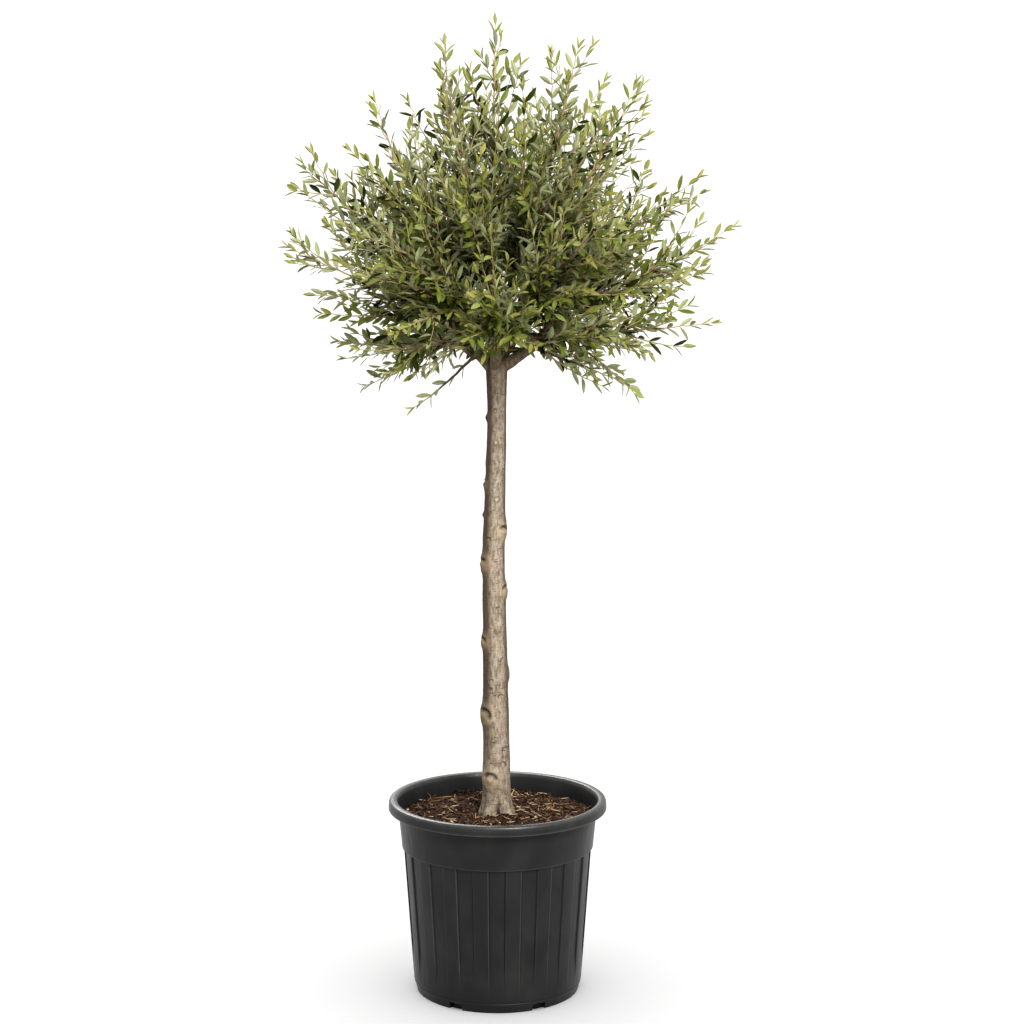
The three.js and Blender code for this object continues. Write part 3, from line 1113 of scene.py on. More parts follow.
@dataclass(frozen=True)
class BarkSize:
    """Sizes of the bark's relief, in millimetres."""

    columns: int = 112
    step_mm: float = 2.3
    swell_mm: float = 0.9
    swell_grain_mm: tuple[float, float] = (16.0, 60.0)
    wrinkle_mm: float = 0.28
    wrinkle_grain_mm: tuple[float, float] = (13.0, 3.4)
    # Each root's bearing in degrees and how far it stands out.
    roots: tuple[tuple[float, float], ...] = (
        (-84.0, 10.0),
        (-37.0, 13.0),
        (44.0, 14.0),
        (92.0, 9.0),
        (146.0, 12.0),
        (-138.0, 12.0),
    )
    root_width_deg: float = 19.0
    root_height_mm: float = 18.0
    cleft_shade: float = 0.3  # how dark the painted shade in the hollows between the roots is
    cleft_deg: tuple[float, float] = (5.0, 8.0)  # the front cleft's place and width
    cleft_mm: tuple[float, float] = (8.0, 16.0)  # its depth and its height
    flare_mm: float = 1.5  # extra radius between the roots, at the soil
    buried_mm: float = 16.0
    lit_side_deg: float = 14.0  # the side facing the key light, left pale; painted shade grows away from it
    side_shade: float = 0.85  # how dark the painted shade on the other sides is
    lit_side_fade_deg: tuple[float, float] = (18.0, 56.0)  # where the painted side shade sets in, away from the lit side
    side_shade_rise_mm: tuple[float, float] = (360.0, 560.0)  # where the painted side shade grows from faint to full, above the soil
    head_shade: float = 0.35  # how dark the painted shade under the crown is
    head_shade_mm: float = 300.0  # the length below the head that gets painted shade


class Stem:
    """The bare stem with its root flare and knots."""

    FLARE_TOP = 50 * MM

    def __init__(self, size: BarkSize) -> None:
        """Reads the stem's rings from the frame.

        Args:
            size: Sizes of the relief.
        """
        self.size = size
        corners = node_vertices("trunk")
        levels = np.unique(corners[:, 2].round(4))
        rings = [corners[np.abs(corners[:, 2] - z) < 1e-4] for z in levels]
        whole = [r for r in rings if len(r) > 6]
        self.levels = np.array([r[0, 2] for r in whole])
        self.centres = np.array([(r.max(0) + r.min(0)) / 2 for r in whole])[:, :2]
        spokes = [np.hypot(*(r[:, :2] - c).T) for r, c in zip(whole, self.centres)]
        self.radii = np.array([s[s > 0.3 * s.max()].mean() for s in spokes])
        # The flare at the soil is drawn finer than the frame's lowest rings.
        low = self.levels < self.levels[0] + self.FLARE_TOP
        self.radii[low] = self.radii[~low][0]
        self.foot, self.head = self.levels[0], self.levels[-1]

    def centre(self, height: np.ndarray) -> np.ndarray:
        """Finds the stem's axis.

        Args:
            height: Heights in metres.

        Returns:
            (n, 2) places of the axis.
        """
        x = np.interp(height, self.levels, self.centres[:, 0])
        y = np.interp(height, self.levels, self.centres[:, 1])
        return np.stack([x, y], -1)

    def relief(self, heights: np.ndarray, turns: np.ndarray) -> tuple:
        """Works out the bark's relief and its marks.

        Args:
            heights: (rows, 1) heights in metres.
            turns: (1, columns) radians from the front towards the right.

        Returns:
            Relief in metres, shares of dark pits and painted shade, and scar shares,
            each (rows, columns).
        """
        s = self.size
        z = heights / MM
        girth = self.radii.mean() / MM
        relief = np.zeros((len(heights), turns.shape[1]))
        for i, level in enumerate(z[:, 0]):
            for j, turn in enumerate(turns[0]):
                x, y = girth * math.sin(turn), girth * math.cos(turn)
                wide, tall = s.swell_grain_mm
                swell = noise.noise(Vector((x / wide, y / wide, level / tall)))
                wide, tall = s.wrinkle_grain_mm
                fine = noise.noise(Vector((x / wide, y / wide, level / tall)))
                relief[i, j] = s.swell_mm * swell + s.wrinkle_mm * fine
        low = np.exp(-np.maximum(z - self.foot / MM, 0) / s.root_height_mm)
        flare = np.full_like(turns, s.flare_mm)
        for bearing, size in s.roots:
            away = (turns - math.radians(bearing) + math.pi) % (2 * math.pi) - math.pi
            ridge = np.exp(-((away / math.radians(s.root_width_deg)) ** 2))
            flare = np.maximum(flare, size * ridge)
        relief += flare * low
        # Painted shade in the hollows between the roots and in the front cleft.
        hollow_shade = s.cleft_shade * low * (1 - flare / flare.max())
        place, width = np.radians(s.cleft_deg)
        depth, rise = s.cleft_mm
        above = np.maximum(z - self.foot / MM, 0)
        cleft = np.exp(-(((turns - place) / width) ** 2) - (above / rise) ** 2)
        relief -= depth * cleft
        pits_and_shade = np.maximum(hollow_shade, 0.95 * cleft)
        scars = np.zeros_like(relief)
        for knot in KNOTS:
            lift, pit_and_shade, scar = self.mark(knot, z, turns)
            relief += lift
            pits_and_shade = np.maximum(pits_and_shade, pit_and_shade)
            scars = np.maximum(scars, scar)
        return relief * MM, pits_and_shade, scars

    def painted_side_and_head_shade(self, heights: np.ndarray, turns: np.ndarray) -> np.ndarray:
        """Works out the painted shade on the bark: brown on the sides turned away from
        the key light, and under the crown.

        Args:
            heights: (rows, 1) heights in metres.
            turns: (1, columns) radians from the front towards the right.

        Returns:
            (rows, columns) shares.
        """
        s = self.size
        away = (turns - math.radians(s.lit_side_deg) + math.pi) % (2 * math.pi)
        away = np.degrees(np.abs(away - math.pi))
        sides = s.side_shade * smoothstep(*s.lit_side_fade_deg, away)
        sides = sides * (1 - 0.5 * smoothstep(110, 180, away))
        sides = sides * (0.15 + 0.85 * smoothstep(*s.side_shade_rise_mm, heights / MM))
        rise = smoothstep(self.head - s.head_shade_mm * MM, self.head, heights)
        return np.maximum(sides, s.head_shade * rise)

    def mark(self, knot: Knot, z: np.ndarray, turns: np.ndarray) -> tuple:
        """Shapes one knot.

        Args:
            knot: The mark.
            z: (rows, 1) heights in millimetres.
            turns: (1, columns) radians from the front.

        Returns:
            Relief in millimetres, share of dark pit and painted shade, and scar share.
        """
        level = knot.height_mm * MM
        girth = np.interp(level, self.levels, self.radii) / MM
        away = (turns - math.radians(knot.bearing_deg) + math.pi) % (2 * math.pi)
        level_across = (away - math.pi) * girth / knot.size_mm
        upright = (z - knot.height_mm) / knot.size_mm
        tilt = math.radians(knot.height_mm % 90 - 45)
        across = level_across * math.cos(tilt) - upright * math.sin(tilt)
        along = level_across * math.sin(tilt) + upright * math.cos(tilt)
        distance = np.hypot(across, along)
        dome = np.exp(-(distance**2) / 1.1)
        ring = np.exp(-(((distance - 0.85) / 0.25) ** 2))
        core = np.exp(-((distance / 0.5) ** 4))
        # A fold is an arch round the upper half of the swelling, dark partly in its own
        # colour and partly by painted shade.
        arch = smoothstep(-0.2, 0.6, along / np.maximum(distance, 0.05))
        crescent = arch * np.exp(-(((distance - 0.55) / 0.17) ** 2))
        ripples = 0.05 * knot.size_mm * np.cos(7 * distance) * dome
        if knot.kind is KnotKind.SCAR:
            lift = 0.2 * knot.size_mm * ring - 0.08 * knot.size_mm * core
            return lift, 0.5 * ring * (1 - core), core
        if knot.kind is KnotKind.STUB:
            return 0.75 * knot.size_mm * dome, 0.9 * core, 0 * core
        if knot.kind is KnotKind.EYE:
            lift = 0.16 * knot.size_mm * dome - 0.22 * knot.size_mm * crescent
            return lift + ripples, 0.55 * crescent, 0 * core
        lift = 0.4 * knot.size_mm * dome - 0.24 * knot.size_mm * crescent
        return lift + ripples, 0.75 * crescent, 0.4 * dome * (1 - crescent)

    def build(self, material: bpy.types.Material) -> bpy.types.Object:
        """Makes the stem.

        Args:
            material: Its bark.

        Returns:
            The piece, attached to the frame's root body.
        """
        s = self.size
        count = int((self.head - self.foot) / (s.step_mm * MM)) + 8
        heights = np.linspace(self.foot - s.buried_mm * MM, self.head, count)[:, None]
        turns = np.arange(s.columns)[None, :] * 2 * math.pi / s.columns
        relief, pits_and_shade, scars = self.relief(heights, turns)
        smooth_radii = np.interp(heights, self.levels, self.radii)
        radius = smooth_radii + relief
        centre = self.centre(heights[:, 0])
        places = np.stack(
            [
                centre[:, :1] + radius * np.sin(turns),
                centre[:, 1:] - radius * np.cos(turns),
                np.broadcast_to(heights, radius.shape),
            ],
            -1,
        )
        foot = np.broadcast_to([*centre[0], heights[0, 0]], (1, s.columns, 3))
        head = np.broadcast_to([*centre[-1], self.head + 4 * MM], (1, s.columns, 3))
        places = np.concatenate([foot, places, head])
        shares = {"pit_and_shade": np.pad(pits_and_shade, ((1, 1), (0, 0)))}
        shares["scar"] = np.pad(scars, ((1, 1), (0, 0)))
        # Painted shade on the sides away from the key light and under the crown.
        painted_shade = self.painted_side_and_head_shade(heights, turns)
        shares["painted_shade"] = np.pad(painted_shade, ((1, 1), (0, 0)), "edge")
        obj = grown_object("stem", [places], material, shares)
        return shown(obj, ["trunk"])


@dataclass(frozen=True)
class Limb:
    """A bough or side limb read from the frame: its line and its half-widths."""

    name: str
    mass: str  # the mass of foliage it feeds
    line: np.ndarray
    base_radius: float
    end_radius: float


class Boughs:
    """The boughs and side limbs between the stem's head and the masses."""

    SIDES = 20
    STEP = 3.5 * MM
    FEET = {"bough_left": 25 * MM, "bough_right": -6 * MM}  # below the stem's head
    OTHER_FOOT = 22 * MM  # the same for the other boughs
    BOUGH_RADII = (10.2 * MM, 6.3 * MM)  # at the foot and at the end
    LIMB_RADII = (6.2 * MM, 3.8 * MM)
    INTO_PARENT = 14 * MM  # how far a limb's foot runs on into what bears it
    COLLAR = 0.4  # how much thicker a limb is where it leaves its parent
    COLLAR_LENGTH = 24 * MM

    def __init__(self, stem: Stem, entries: dict[str, np.ndarray]) -> None:
        """Reads the limbs from the frame.

        Args:
            stem: The stem they leave.
            entries: Mass names and the points where their limbs enter them.
        """
        self.stem = stem
        names = [n for n in frame["nodes"] if n.startswith(("bough_", "limb_"))]
        self.limbs = {n: self.read(n, entries) for n in sorted(names)}

    def read(self, name: str, entries: dict[str, np.ndarray]) -> Limb:
        """Finds a limb's centre line in its CAD node.

        Args:
            name: The node's name.
            entries: Mass names and the points where their limbs enter them.

        Returns:
            The limb.
        """
        corners = node_vertices(name)
        gaps = {
            m: np.linalg.norm(corners - e, axis=1).min() for m, e in entries.items()
        }
        mass = min(gaps, key=gaps.get)
        end = entries[mass]
        away = np.linalg.norm(corners - end, axis=1)
        order = np.argsort(away)
        breaks = np.where(np.diff(away[order]) > 5 * MM)[0] + 1
        groups = np.split(order, breaks)
        stations = [corners[g].mean(0) for g in groups if len(g) >= 3]
        stations = stations[::-1]
        foot, middle, tip = stations[0], stations[len(stations) // 2], stations[-1]
        if len(stations) < 3:
            middle = (foot + tip) / 2
        if name.startswith("bough_"):
            level = self.stem.head - self.FEET.get(name, self.OTHER_FOOT)
            foot = np.array([*self.stem.centre(np.array([level]))[0], level])
        else:
            foot = foot + unit(foot - middle) * self.INTO_PARENT
        bend = 2 * middle - 0.5 * (foot + tip)
        count = max(6, int(np.linalg.norm(tip - foot) / self.STEP))
        line = bezier(foot, bend, tip, count)
        radii = self.BOUGH_RADII if name.startswith("bough_") else self.LIMB_RADII
        return Limb(name, mass, line, *radii)

    def build(self, material: bpy.types.Material) -> bpy.types.Object:
        """Makes all the limbs as one piece.

        Args:
            material: Their bark.

        Returns:
            The piece, attached to the frame's root body.
        """
        obj = grown_object("boughs", map(self.skin, self.limbs.values()), material)
        return shown(obj, sorted(self.limbs))

    def skin(self, limb: Limb) -> np.ndarray:
        """Lays a limb's rings, thick at the collar and gently uneven.

        Args:
            limb: The limb.

        Returns:
            (rows, columns, 3) positions, each end drawn to a point.
        """
        share = np.linspace(0, 1, len(limb.line))
        radii = limb.base_radius + (limb.end_radius - limb.base_radius) * share
        walked = share * len(share) * self.STEP
        radii = radii * (1 + self.COLLAR * np.exp(-walked / self.COLLAR_LENGTH))
        rings = tube_rings(limb.line, radii, self.SIDES)
        for ring, centre in zip(rings, limb.line):
            for number, place in enumerate(ring):
                swell = 1 + 0.09 * noise.noise(Vector(place / (15 * MM)))
                ring[number] = centre + (place - centre) * swell
        ends = np.repeat(limb.line[[0, -1], None], self.SIDES, 1)
        return np.concatenate([ends[:1], rings, ends[1:]])


# ---------------------------------------------------------------------- growth


class Sector(Enum):
    """Parts of the crown, each with its own pieces."""

    TOP = "top"
    LEFT = "left"
    RIGHT = "right"
    FRONT = "front"
    BACK = "back"

    @classmethod
    def of(cls, heading: np.ndarray) -> "Sector":
        """Finds the part of the crown that lies along a heading.

        Args:
            heading: A unit vector from the crown's heart.

        Returns:
            The part.
        """
        x, y, z = heading
        if z > 0.86:
            return cls.TOP
        if abs(x) > abs(y):
            return cls.LEFT if x < 0 else cls.RIGHT
        return cls.FRONT if y < 0 else cls.BACK


@dataclass(frozen=True)
class Mass:
    """The outline of one mass of foliage, read from the frame."""

    name: str
    entry: np.ndarray
    tip: np.ndarray
    sector: Sector

    @classmethod
    def read(cls, name: str, heart: np.ndarray) -> "Mass":
        """Reads a mass from its CAD node.

        Args:
            name: The node's name.
            heart: The point the crown radiates from.

        Returns:
            The mass.
        """
        corners = node_vertices(name)
        reach = np.linalg.norm(corners - heart, axis=1)
        tip = corners[reach.argmax()]
        entry = corners[reach.argmin()]
        return cls(name, entry, tip, Sector.of(unit(tip - heart)))


class ShootKind(Enum):
    """How a shoot grows; the value is how many sides its twig is drawn with."""

    LEADER = 7
    SIDE = 5
    SPRIG = 4
    INNER = 3


@dataclass(frozen=True)
class Shoot:
    """One shoot: its line, its half-widths and where its leaves begin."""

    points: np.ndarray
    base_radius: float
    tip_radius: float
    leaves_from: float
    kind: ShootKind
    sector: Sector


@dataclass(frozen=True)
class GrowthSize:
    """The rule the shoots grow by, in millimetres and degrees."""

    step_mm: float = 11.0
    side_spacing_mm: float = 53.0
    low_spacing: float = 1.3  # how much wider it is in the low masses
    low_rise: float = 0.3  # a mass is low whose tip rises less than this share
    side_angle_deg: tuple[float, float] = (15.0, 34.0)
    outline_share: float = 0.42  # how many side shoots reach the outline
    outline_reach: tuple[float, float] = (0.86, 0.98)
    inner_reach: tuple[float, float] = (0.45, 0.8)
    side_shortest_mm: float = 60.0
    side_radius_mm: tuple[float, float] = (1.3, 2.7)
    side_length_mm: tuple[float, float] = (60.0, 420.0)
    bare_limb_share: float = 0.45
    fill_directions: int = 520  # looked at all round for gaps between masses
    fill_upper: float = 0.5  # every direction is used above this share of upright
    fill_lower_step: int = 4  # and one in so many below it
    fill_gap_deg: float = 11.0  # a gap is this far from every mass's axis
    fill_depth: float = 0.3  # and lies at least this far to the front or the back
    fill_reach: tuple[float, float] = (0.8, 0.97)
    fill_floor: float = -0.35  # fillers point no further down than this
    sprig_spacing_mm: float = 44.0
    sprig_length_mm: tuple[float, float] = (40.0, 105.0)
    sprig_angle_deg: tuple[float, float] = (26.0, 48.0)
    sprig_radius_mm: float = 1.2
    clear_tip_mm: float = 150.0
    inner_spacing_mm: float = 23.0
    inner_length_mm: tuple[float, float] = (60.0, 150.0)
    inner_angle_deg: tuple[float, float] = (40.0, 85.0)
    skirt_mm: float = 30.0  # how far below the heart inner sprigs may reach
    lift: float = 0.3
    tip_room_mm: float = 20.0  # kept for the last leaves within the outline
    leader_radius_mm: float = 3.1
    tip_radius_mm: float = 0.6
    clean_height_mm: float = 26.0  # kept bare above the stem's head, front and back


class Crown:
    """Grows every shoot from the limbs to the outline of the masses."""

    def __init__(self, size: GrowthSize, rng: np.random.Generator) -> None:
        """Reads the masses from the frame.

        Args:
            size: The growth rule.
            rng: Seeded random numbers.
        """
        self.size = size
        self.rng = rng
        self.head = node_vertices("trunk")[:, 2].max()
        self.heart = np.array([0.0, 0.0, self.head + 44 * MM])
        names = sorted(n for n in frame["nodes"] if n.startswith("foliage_"))
        self.masses = [Mass.read(n, self.heart) for n in names]

    def entries(self) -> dict[str, np.ndarray]:
        """Lists where the limbs enter the masses, by the masses' names."""
        return {m.name: m.entry for m in self.masses}

    def grow(self, limbs: Iterable[Limb]) -> list[Shoot]:
        """Grows the whole crown.

        Args:
            limbs: The limbs, one for each mass.

        Returns:
            Every shoot.
        """
        limb_of = {limb.mass: limb for limb in limbs}
        shoots = []
        for mass in self.masses:
            limb = limb_of[mass.name].line
            leader = self.leader(mass)
            bearing = limb[int(self.size.bare_limb_share * len(limb)) : -1]
            sides = self.sides(mass, np.concatenate([bearing, leader.points]))
            shoots += [leader, *sides, *self.inner_sprigs(bearing, mass.sector)]
            for bearer in [leader, *sides]:
                shoots += self.sprigs(bearer)
        fillers = self.fillers(np.concatenate([l.line[-4:] for l in limb_of.values()]))
        shoots += fillers
        for bearer in fillers:
            shoots += self.sprigs(bearer)
        shoots = [shoot for shoot in shoots if not self.hides_fork(shoot)]
        log.info("%d shoots", len(shoots))
        return shoots

    def hides_fork(self, shoot: Shoot) -> bool:
        """Tells whether a shoot hangs before the fork, where growers rub it off.

        Args:
            shoot: The shoot.

        Returns:
            Whether it is left out.
        """
        low = shoot.points[:, 2].min() < self.head + self.size.clean_height_mm * MM
        return low and shoot.sector in (Sector.FRONT, Sector.BACK)

    def fillers(self, feet: np.ndarray) -> list[Shoot]:
        """Grows long shoots into the gaps between the masses.

        Args:
            feet: (n, 3) places on the limbs where such a shoot may start.

        Returns:
            The shoots.
        """
        s, rng = self.size, self.rng
        axes = unit(np.array([m.tip - self.heart for m in self.masses]))
        reaches = np.array([np.linalg.norm(m.tip - self.heart) for m in self.masses])
        shoots = []
        for number in range(s.fill_directions):
            z = 1 - 2 * (number + 0.5) / s.fill_directions
            flat, turn = math.sqrt(1 - z * z), number * GOLDEN_ANGLE
            heading = np.array([flat * math.cos(turn), flat * math.sin(turn), z])
            away = np.degrees(np.arccos(np.clip(axes @ heading, -1, 1)))
            if z < s.fill_upper and number % s.fill_lower_step:
                continue
            if z < s.fill_floor or abs(heading[1]) < s.fill_depth:
                continue
            if away.min() < s.fill_gap_deg:
                continue
            near = np.argsort(away)[:3]
            reach = np.average(reaches[near], weights=1 / away[near])
            end = self.heart + heading * reach * rng.uniform(*s.fill_reach)
            foot = feet[np.linalg.norm(feet - end, axis=1).argmin()]
            points = self.line(foot, heading, end, s.lift * rng.uniform(0.2, 1))
            radii = s.side_radius_mm[1] * MM, s.tip_radius_mm * MM
            sector = Sector.of(heading)
            shoots.append(Shoot(points, *radii, 0.06, ShootKind.SIDE, sector))
        return shoots

    def line(
        self, start: np.ndarray, heading: np.ndarray, end: np.ndarray, lift: float
    ) -> np.ndarray:
        """Draws a shoot that leaves along a heading and rises towards its end.

        Args:
            start: Where it leaves.
            heading: Its first direction.
            end: Its tip.
            lift: Share of its length by which it sags before it rises.

        Returns:
            Points about one step apart.
        """
        length = np.linalg.norm(end - start)
        bend = start + heading * 0.5 * length - UP * lift * 0.5 * length
        count = max(5, int(length / (self.size.step_mm * MM)) + 1)
        points = bezier(start, bend, end, count)
        wobble = self.rng.normal(0, 0.7 * MM, (count, 3))
        wobble[0] = 0
        return points + wobble

    def leader(self, mass: Mass) -> Shoot:
        """Grows a mass's main shoot, from its limb's end to its furthest tip.

        Args:
            mass: The mass.

        Returns:
            The leader.
        """
        s = self.size
        axis = unit(mass.tip - mass.entry)
        heading = unit(axis + 0.12 * unit(self.rng.normal(0, 1, 3)))
        level = 1 - abs(axis[2])
        start = mass.entry - axis * 2 * MM
        end = mass.tip - axis * s.tip_room_mm * MM
        points = self.line(start, heading, end, 0.3 * s.lift * level)
        radii = s.leader_radius_mm * MM, s.tip_radius_mm * MM
        return Shoot(points, *radii, 0.1, ShootKind.LEADER, mass.sector)

    def targets(self, mass: Mass, spacing: float) -> np.ndarray:
        """Spreads points evenly over a mass's surface.

        Args:
            mass: The mass.
            spacing: Least distance between two points.

        Returns:
            (n, 3) positions.
        """
        mesh = frame["nodes"][mass.name].data
        mesh.calc_loop_triangles()
        faces = [[mesh.vertices[v].co for v in t.vertices] for t in mesh.loop_triangles]
        faces = np.array(faces, float)
        sides = np.cross(faces[:, 1] - faces[:, 0], faces[:, 2] - faces[:, 0])
        areas = np.linalg.norm(sides, axis=1)
        picks = self.rng.choice(len(faces), 900, p=areas / areas.sum())
        weights = self.rng.dirichlet((1, 1, 1), 900)
        points = np.einsum("nk,nkc->nc", weights, faces[picks])
        kept: list[np.ndarray] = []
        for point in points:
            if all(np.linalg.norm(point - k) > spacing for k in kept):
                kept.append(point)
        return np.array(kept)

    def sides(self, mass: Mass, line: np.ndarray) -> list[Shoot]:
        """Grows the long side shoots that reach a mass's surface.

        Args:
            mass: The mass.
            line: Points along its limb and its leader.

        Returns:
            The side shoots.
        """
        s, rng = self.size, self.rng
        walked = walk(line)
        tangents = ring_frames(line)[0]
        shoots = []
        rise = unit(mass.tip - self.heart)[2]
        spacing = s.side_spacing_mm * MM
        if rise < s.low_rise and mass.sector in (Sector.LEFT, Sector.RIGHT):
            spacing *= s.low_spacing
        for target in self.targets(mass, spacing):
            gaps = np.linalg.norm(line - target, axis=1)
            nearest = int(gaps.argmin())
            back = gaps[nearest] / math.tan(math.radians(rng.uniform(*s.side_angle_deg)))
            place = walked[nearest] - back
            if place < 0:
                place = rng.uniform(0, 0.4) * walked[nearest]
            at = int(np.searchsorted(walked, place))
            outer = rng.random() < s.outline_share
            reach = rng.uniform(*(s.outline_reach if outer else s.inner_reach))
            end = line[at] + (target - line[at]) * reach
            length = np.linalg.norm(end - line[at])
            if length < s.side_shortest_mm * MM:
                continue
            heading = unit(unit(end - line[at]) + 0.3 * tangents[at])
            points = self.line(line[at], heading, end, s.lift * rng.uniform(0.2, 1))
            thick = np.interp(length / MM, s.side_length_mm, s.side_radius_mm) * MM
            radii = thick, s.tip_radius_mm * MM
            shoots.append(Shoot(points, *radii, 0.06, ShootKind.SIDE, mass.sector))
        return shoots

    def sprigs(self, bearer: Shoot) -> list[Shoot]:
        """Grows the short side sprigs of a shoot, and leaves its end to leaves.

        Args:
            bearer: The shoot that bears them.

        Returns:
            The sprigs.
        """
        s, rng = self.size, self.rng
        tangents, first, second = ring_frames(bearer.points)
        walked = walk(bearer.points)
        turn = rng.uniform(0, 2 * math.pi)
        shoots = []
        place = rng.uniform(0.3, 1.0) * s.sprig_spacing_mm * MM
        while place < walked[-1] - s.clear_tip_mm * MM:
            at = int(np.searchsorted(walked, place))
            longest = min(s.sprig_length_mm[1] * MM, 0.6 * (walked[-1] - walked[at]))
            length = rng.uniform(s.sprig_length_mm[0] * MM, longest)
            angle = math.radians(rng.uniform(*s.sprig_angle_deg))
            outward = first[at] * math.cos(turn) + second[at] * math.sin(turn)
            heading = tangents[at] * math.cos(angle) + outward * math.sin(angle)
            start = bearer.points[at]
            end = start + unit(heading + 0.25 * tangents[at] + 0.12 * UP) * length
            points = self.line(start, heading, end, 0.0)
            radii = s.sprig_radius_mm * MM, s.tip_radius_mm * MM
            shoots.append(Shoot(points, *radii, 0.1, ShootKind.SPRIG, bearer.sector))
            turn += GOLDEN_ANGLE
            place += rng.uniform(0.7, 1.3) * s.sprig_spacing_mm * MM
        return shoots

    def inner_sprigs(self, limb: np.ndarray, sector: Sector) -> list[Shoot]:
        """Grows the leafy sprigs that clothe a limb inside the head.

        Args:
            limb: Points along the part of the limb that bears them.
            sector: The part of the crown they are kept with.

        Returns:
            The sprigs.
        """
        s, rng = self.size, self.rng
        tangents, first, second = ring_frames(limb)
        walked = walk(limb)
        turn = rng.uniform(0, 2 * math.pi)
        shoots = []
        for place in np.arange(0, walked[-1], s.inner_spacing_mm * MM):
            at = int(np.searchsorted(walked, place))
            length = rng.uniform(*s.inner_length_mm) * MM
            angle = math.radians(rng.uniform(*s.inner_angle_deg))
            outward = first[at] * math.cos(turn) + second[at] * math.sin(turn)
            heading = tangents[at] * math.cos(angle) + outward * math.sin(angle)
            end = limb[at] + unit(heading + 0.3 * tangents[at]) * length
            if end[2] < self.heart[2] - s.skirt_mm * MM:
                continue
            points = self.line(limb[at], heading, end, 0.1)
            radii = s.sprig_radius_mm * MM, s.tip_radius_mm * MM
            shoots.append(Shoot(points, *radii, 0.15, ShootKind.INNER, sector))
            turn += GOLDEN_ANGLE
        return shoots


# ---------------------------------------------------------------------- leaves


@dataclass(frozen=True)
class LeafSize:
    """Sizes of leaves and the way they stand, in millimetres and degrees."""

    length_mm: tuple[float, float] = (26.0, 38.0)
    slimness: tuple[float, float] = (3.3, 4.2)
    tip_length_mm: float = 24.0
    inner_slimness: tuple[float, float] = (2.4, 3.0)
    internode_mm: tuple[float, float] = (18.0, 25.0)
    pair_turn_deg: float = 38.0  # how far pairs stand to either side of a plane
    angle_deg: tuple[float, float] = (28.0, 52.0)
    tip_angle_deg: float = 15.0
    thickness_mm: float = 0.5


class LeafShape:
    """A lance-shaped leaf: a folded blade with an upper and a lower face."""

    # Share of the length, and half-width as a share of the widest.
    STATIONS = ((0.1, 0.26), (0.32, 0.84), (0.6, 1.0), (0.86, 0.56))

    def __init__(self) -> None:
        """Lays out the leaf's corners and faces, two faces thick."""
        corners = [(0.0, 0.0, 0.0, 0.0)]  # across, along, fold, thickness
        for along, half in self.STATIONS:
            corners.append((-half / 2, along, half, 0.0))
            corners.append((half / 2, along, half, 0.0))
            corners.append((0.0, along, 0.0, 0.5 * half))
            corners.append((0.0, along, 0.0, -0.5 * half))
        corners.append((0.0, 1.0, 0.0, 0.0))
        self.corners = np.array(corners)
        tip = len(corners) - 1
        upper, lower = [], []
        for side, faces in ((3, upper), (4, lower)):
            faces += [(0, 2, side), (0, side, 1)]
            for k in range(len(self.STATIONS) - 1):
                a, b = 4 * k, 4 * (k + 1)
                faces += [(a + 2, b + 2, b + side), (a + 2, b + side, a + side)]
                faces += [(a + side, b + side, b + 1), (a + side, b + 1, a + 1)]
            a = 4 * (len(self.STATIONS) - 1)
            faces += [(a + 2, tip, a + side), (a + side, tip, a + 1)]
        self.upper = np.array(upper)
        self.lower = np.array(lower)[:, ::-1]


@dataclass(frozen=True)
class Stance:
    """Where and how a leaf leaves its shoot."""

    foot: np.ndarray
    tangent: np.ndarray  # the shoot's direction there
    outward: np.ndarray  # the side it leaves towards
    up: np.ndarray  # the way the spray's upper faces look
    age: float  # zero at the shoot's tip, one for a full-grown leaf
    slimness: tuple[float, float]  # least and greatest length beside its width


@dataclass
class LeafBatch:
    """Leaves waiting to be shaped, one entry each."""

    foot: list = field(default_factory=list)
    along: list = field(default_factory=list)
    face: list = field(default_factory=list)
    length: list = field(default_factory=list)
    width: list = field(default_factory=list)
    bend: list = field(default_factory=list)
    fold: list = field(default_factory=list)
    upper: list = field(default_factory=list)
    lower: list = field(default_factory=list)


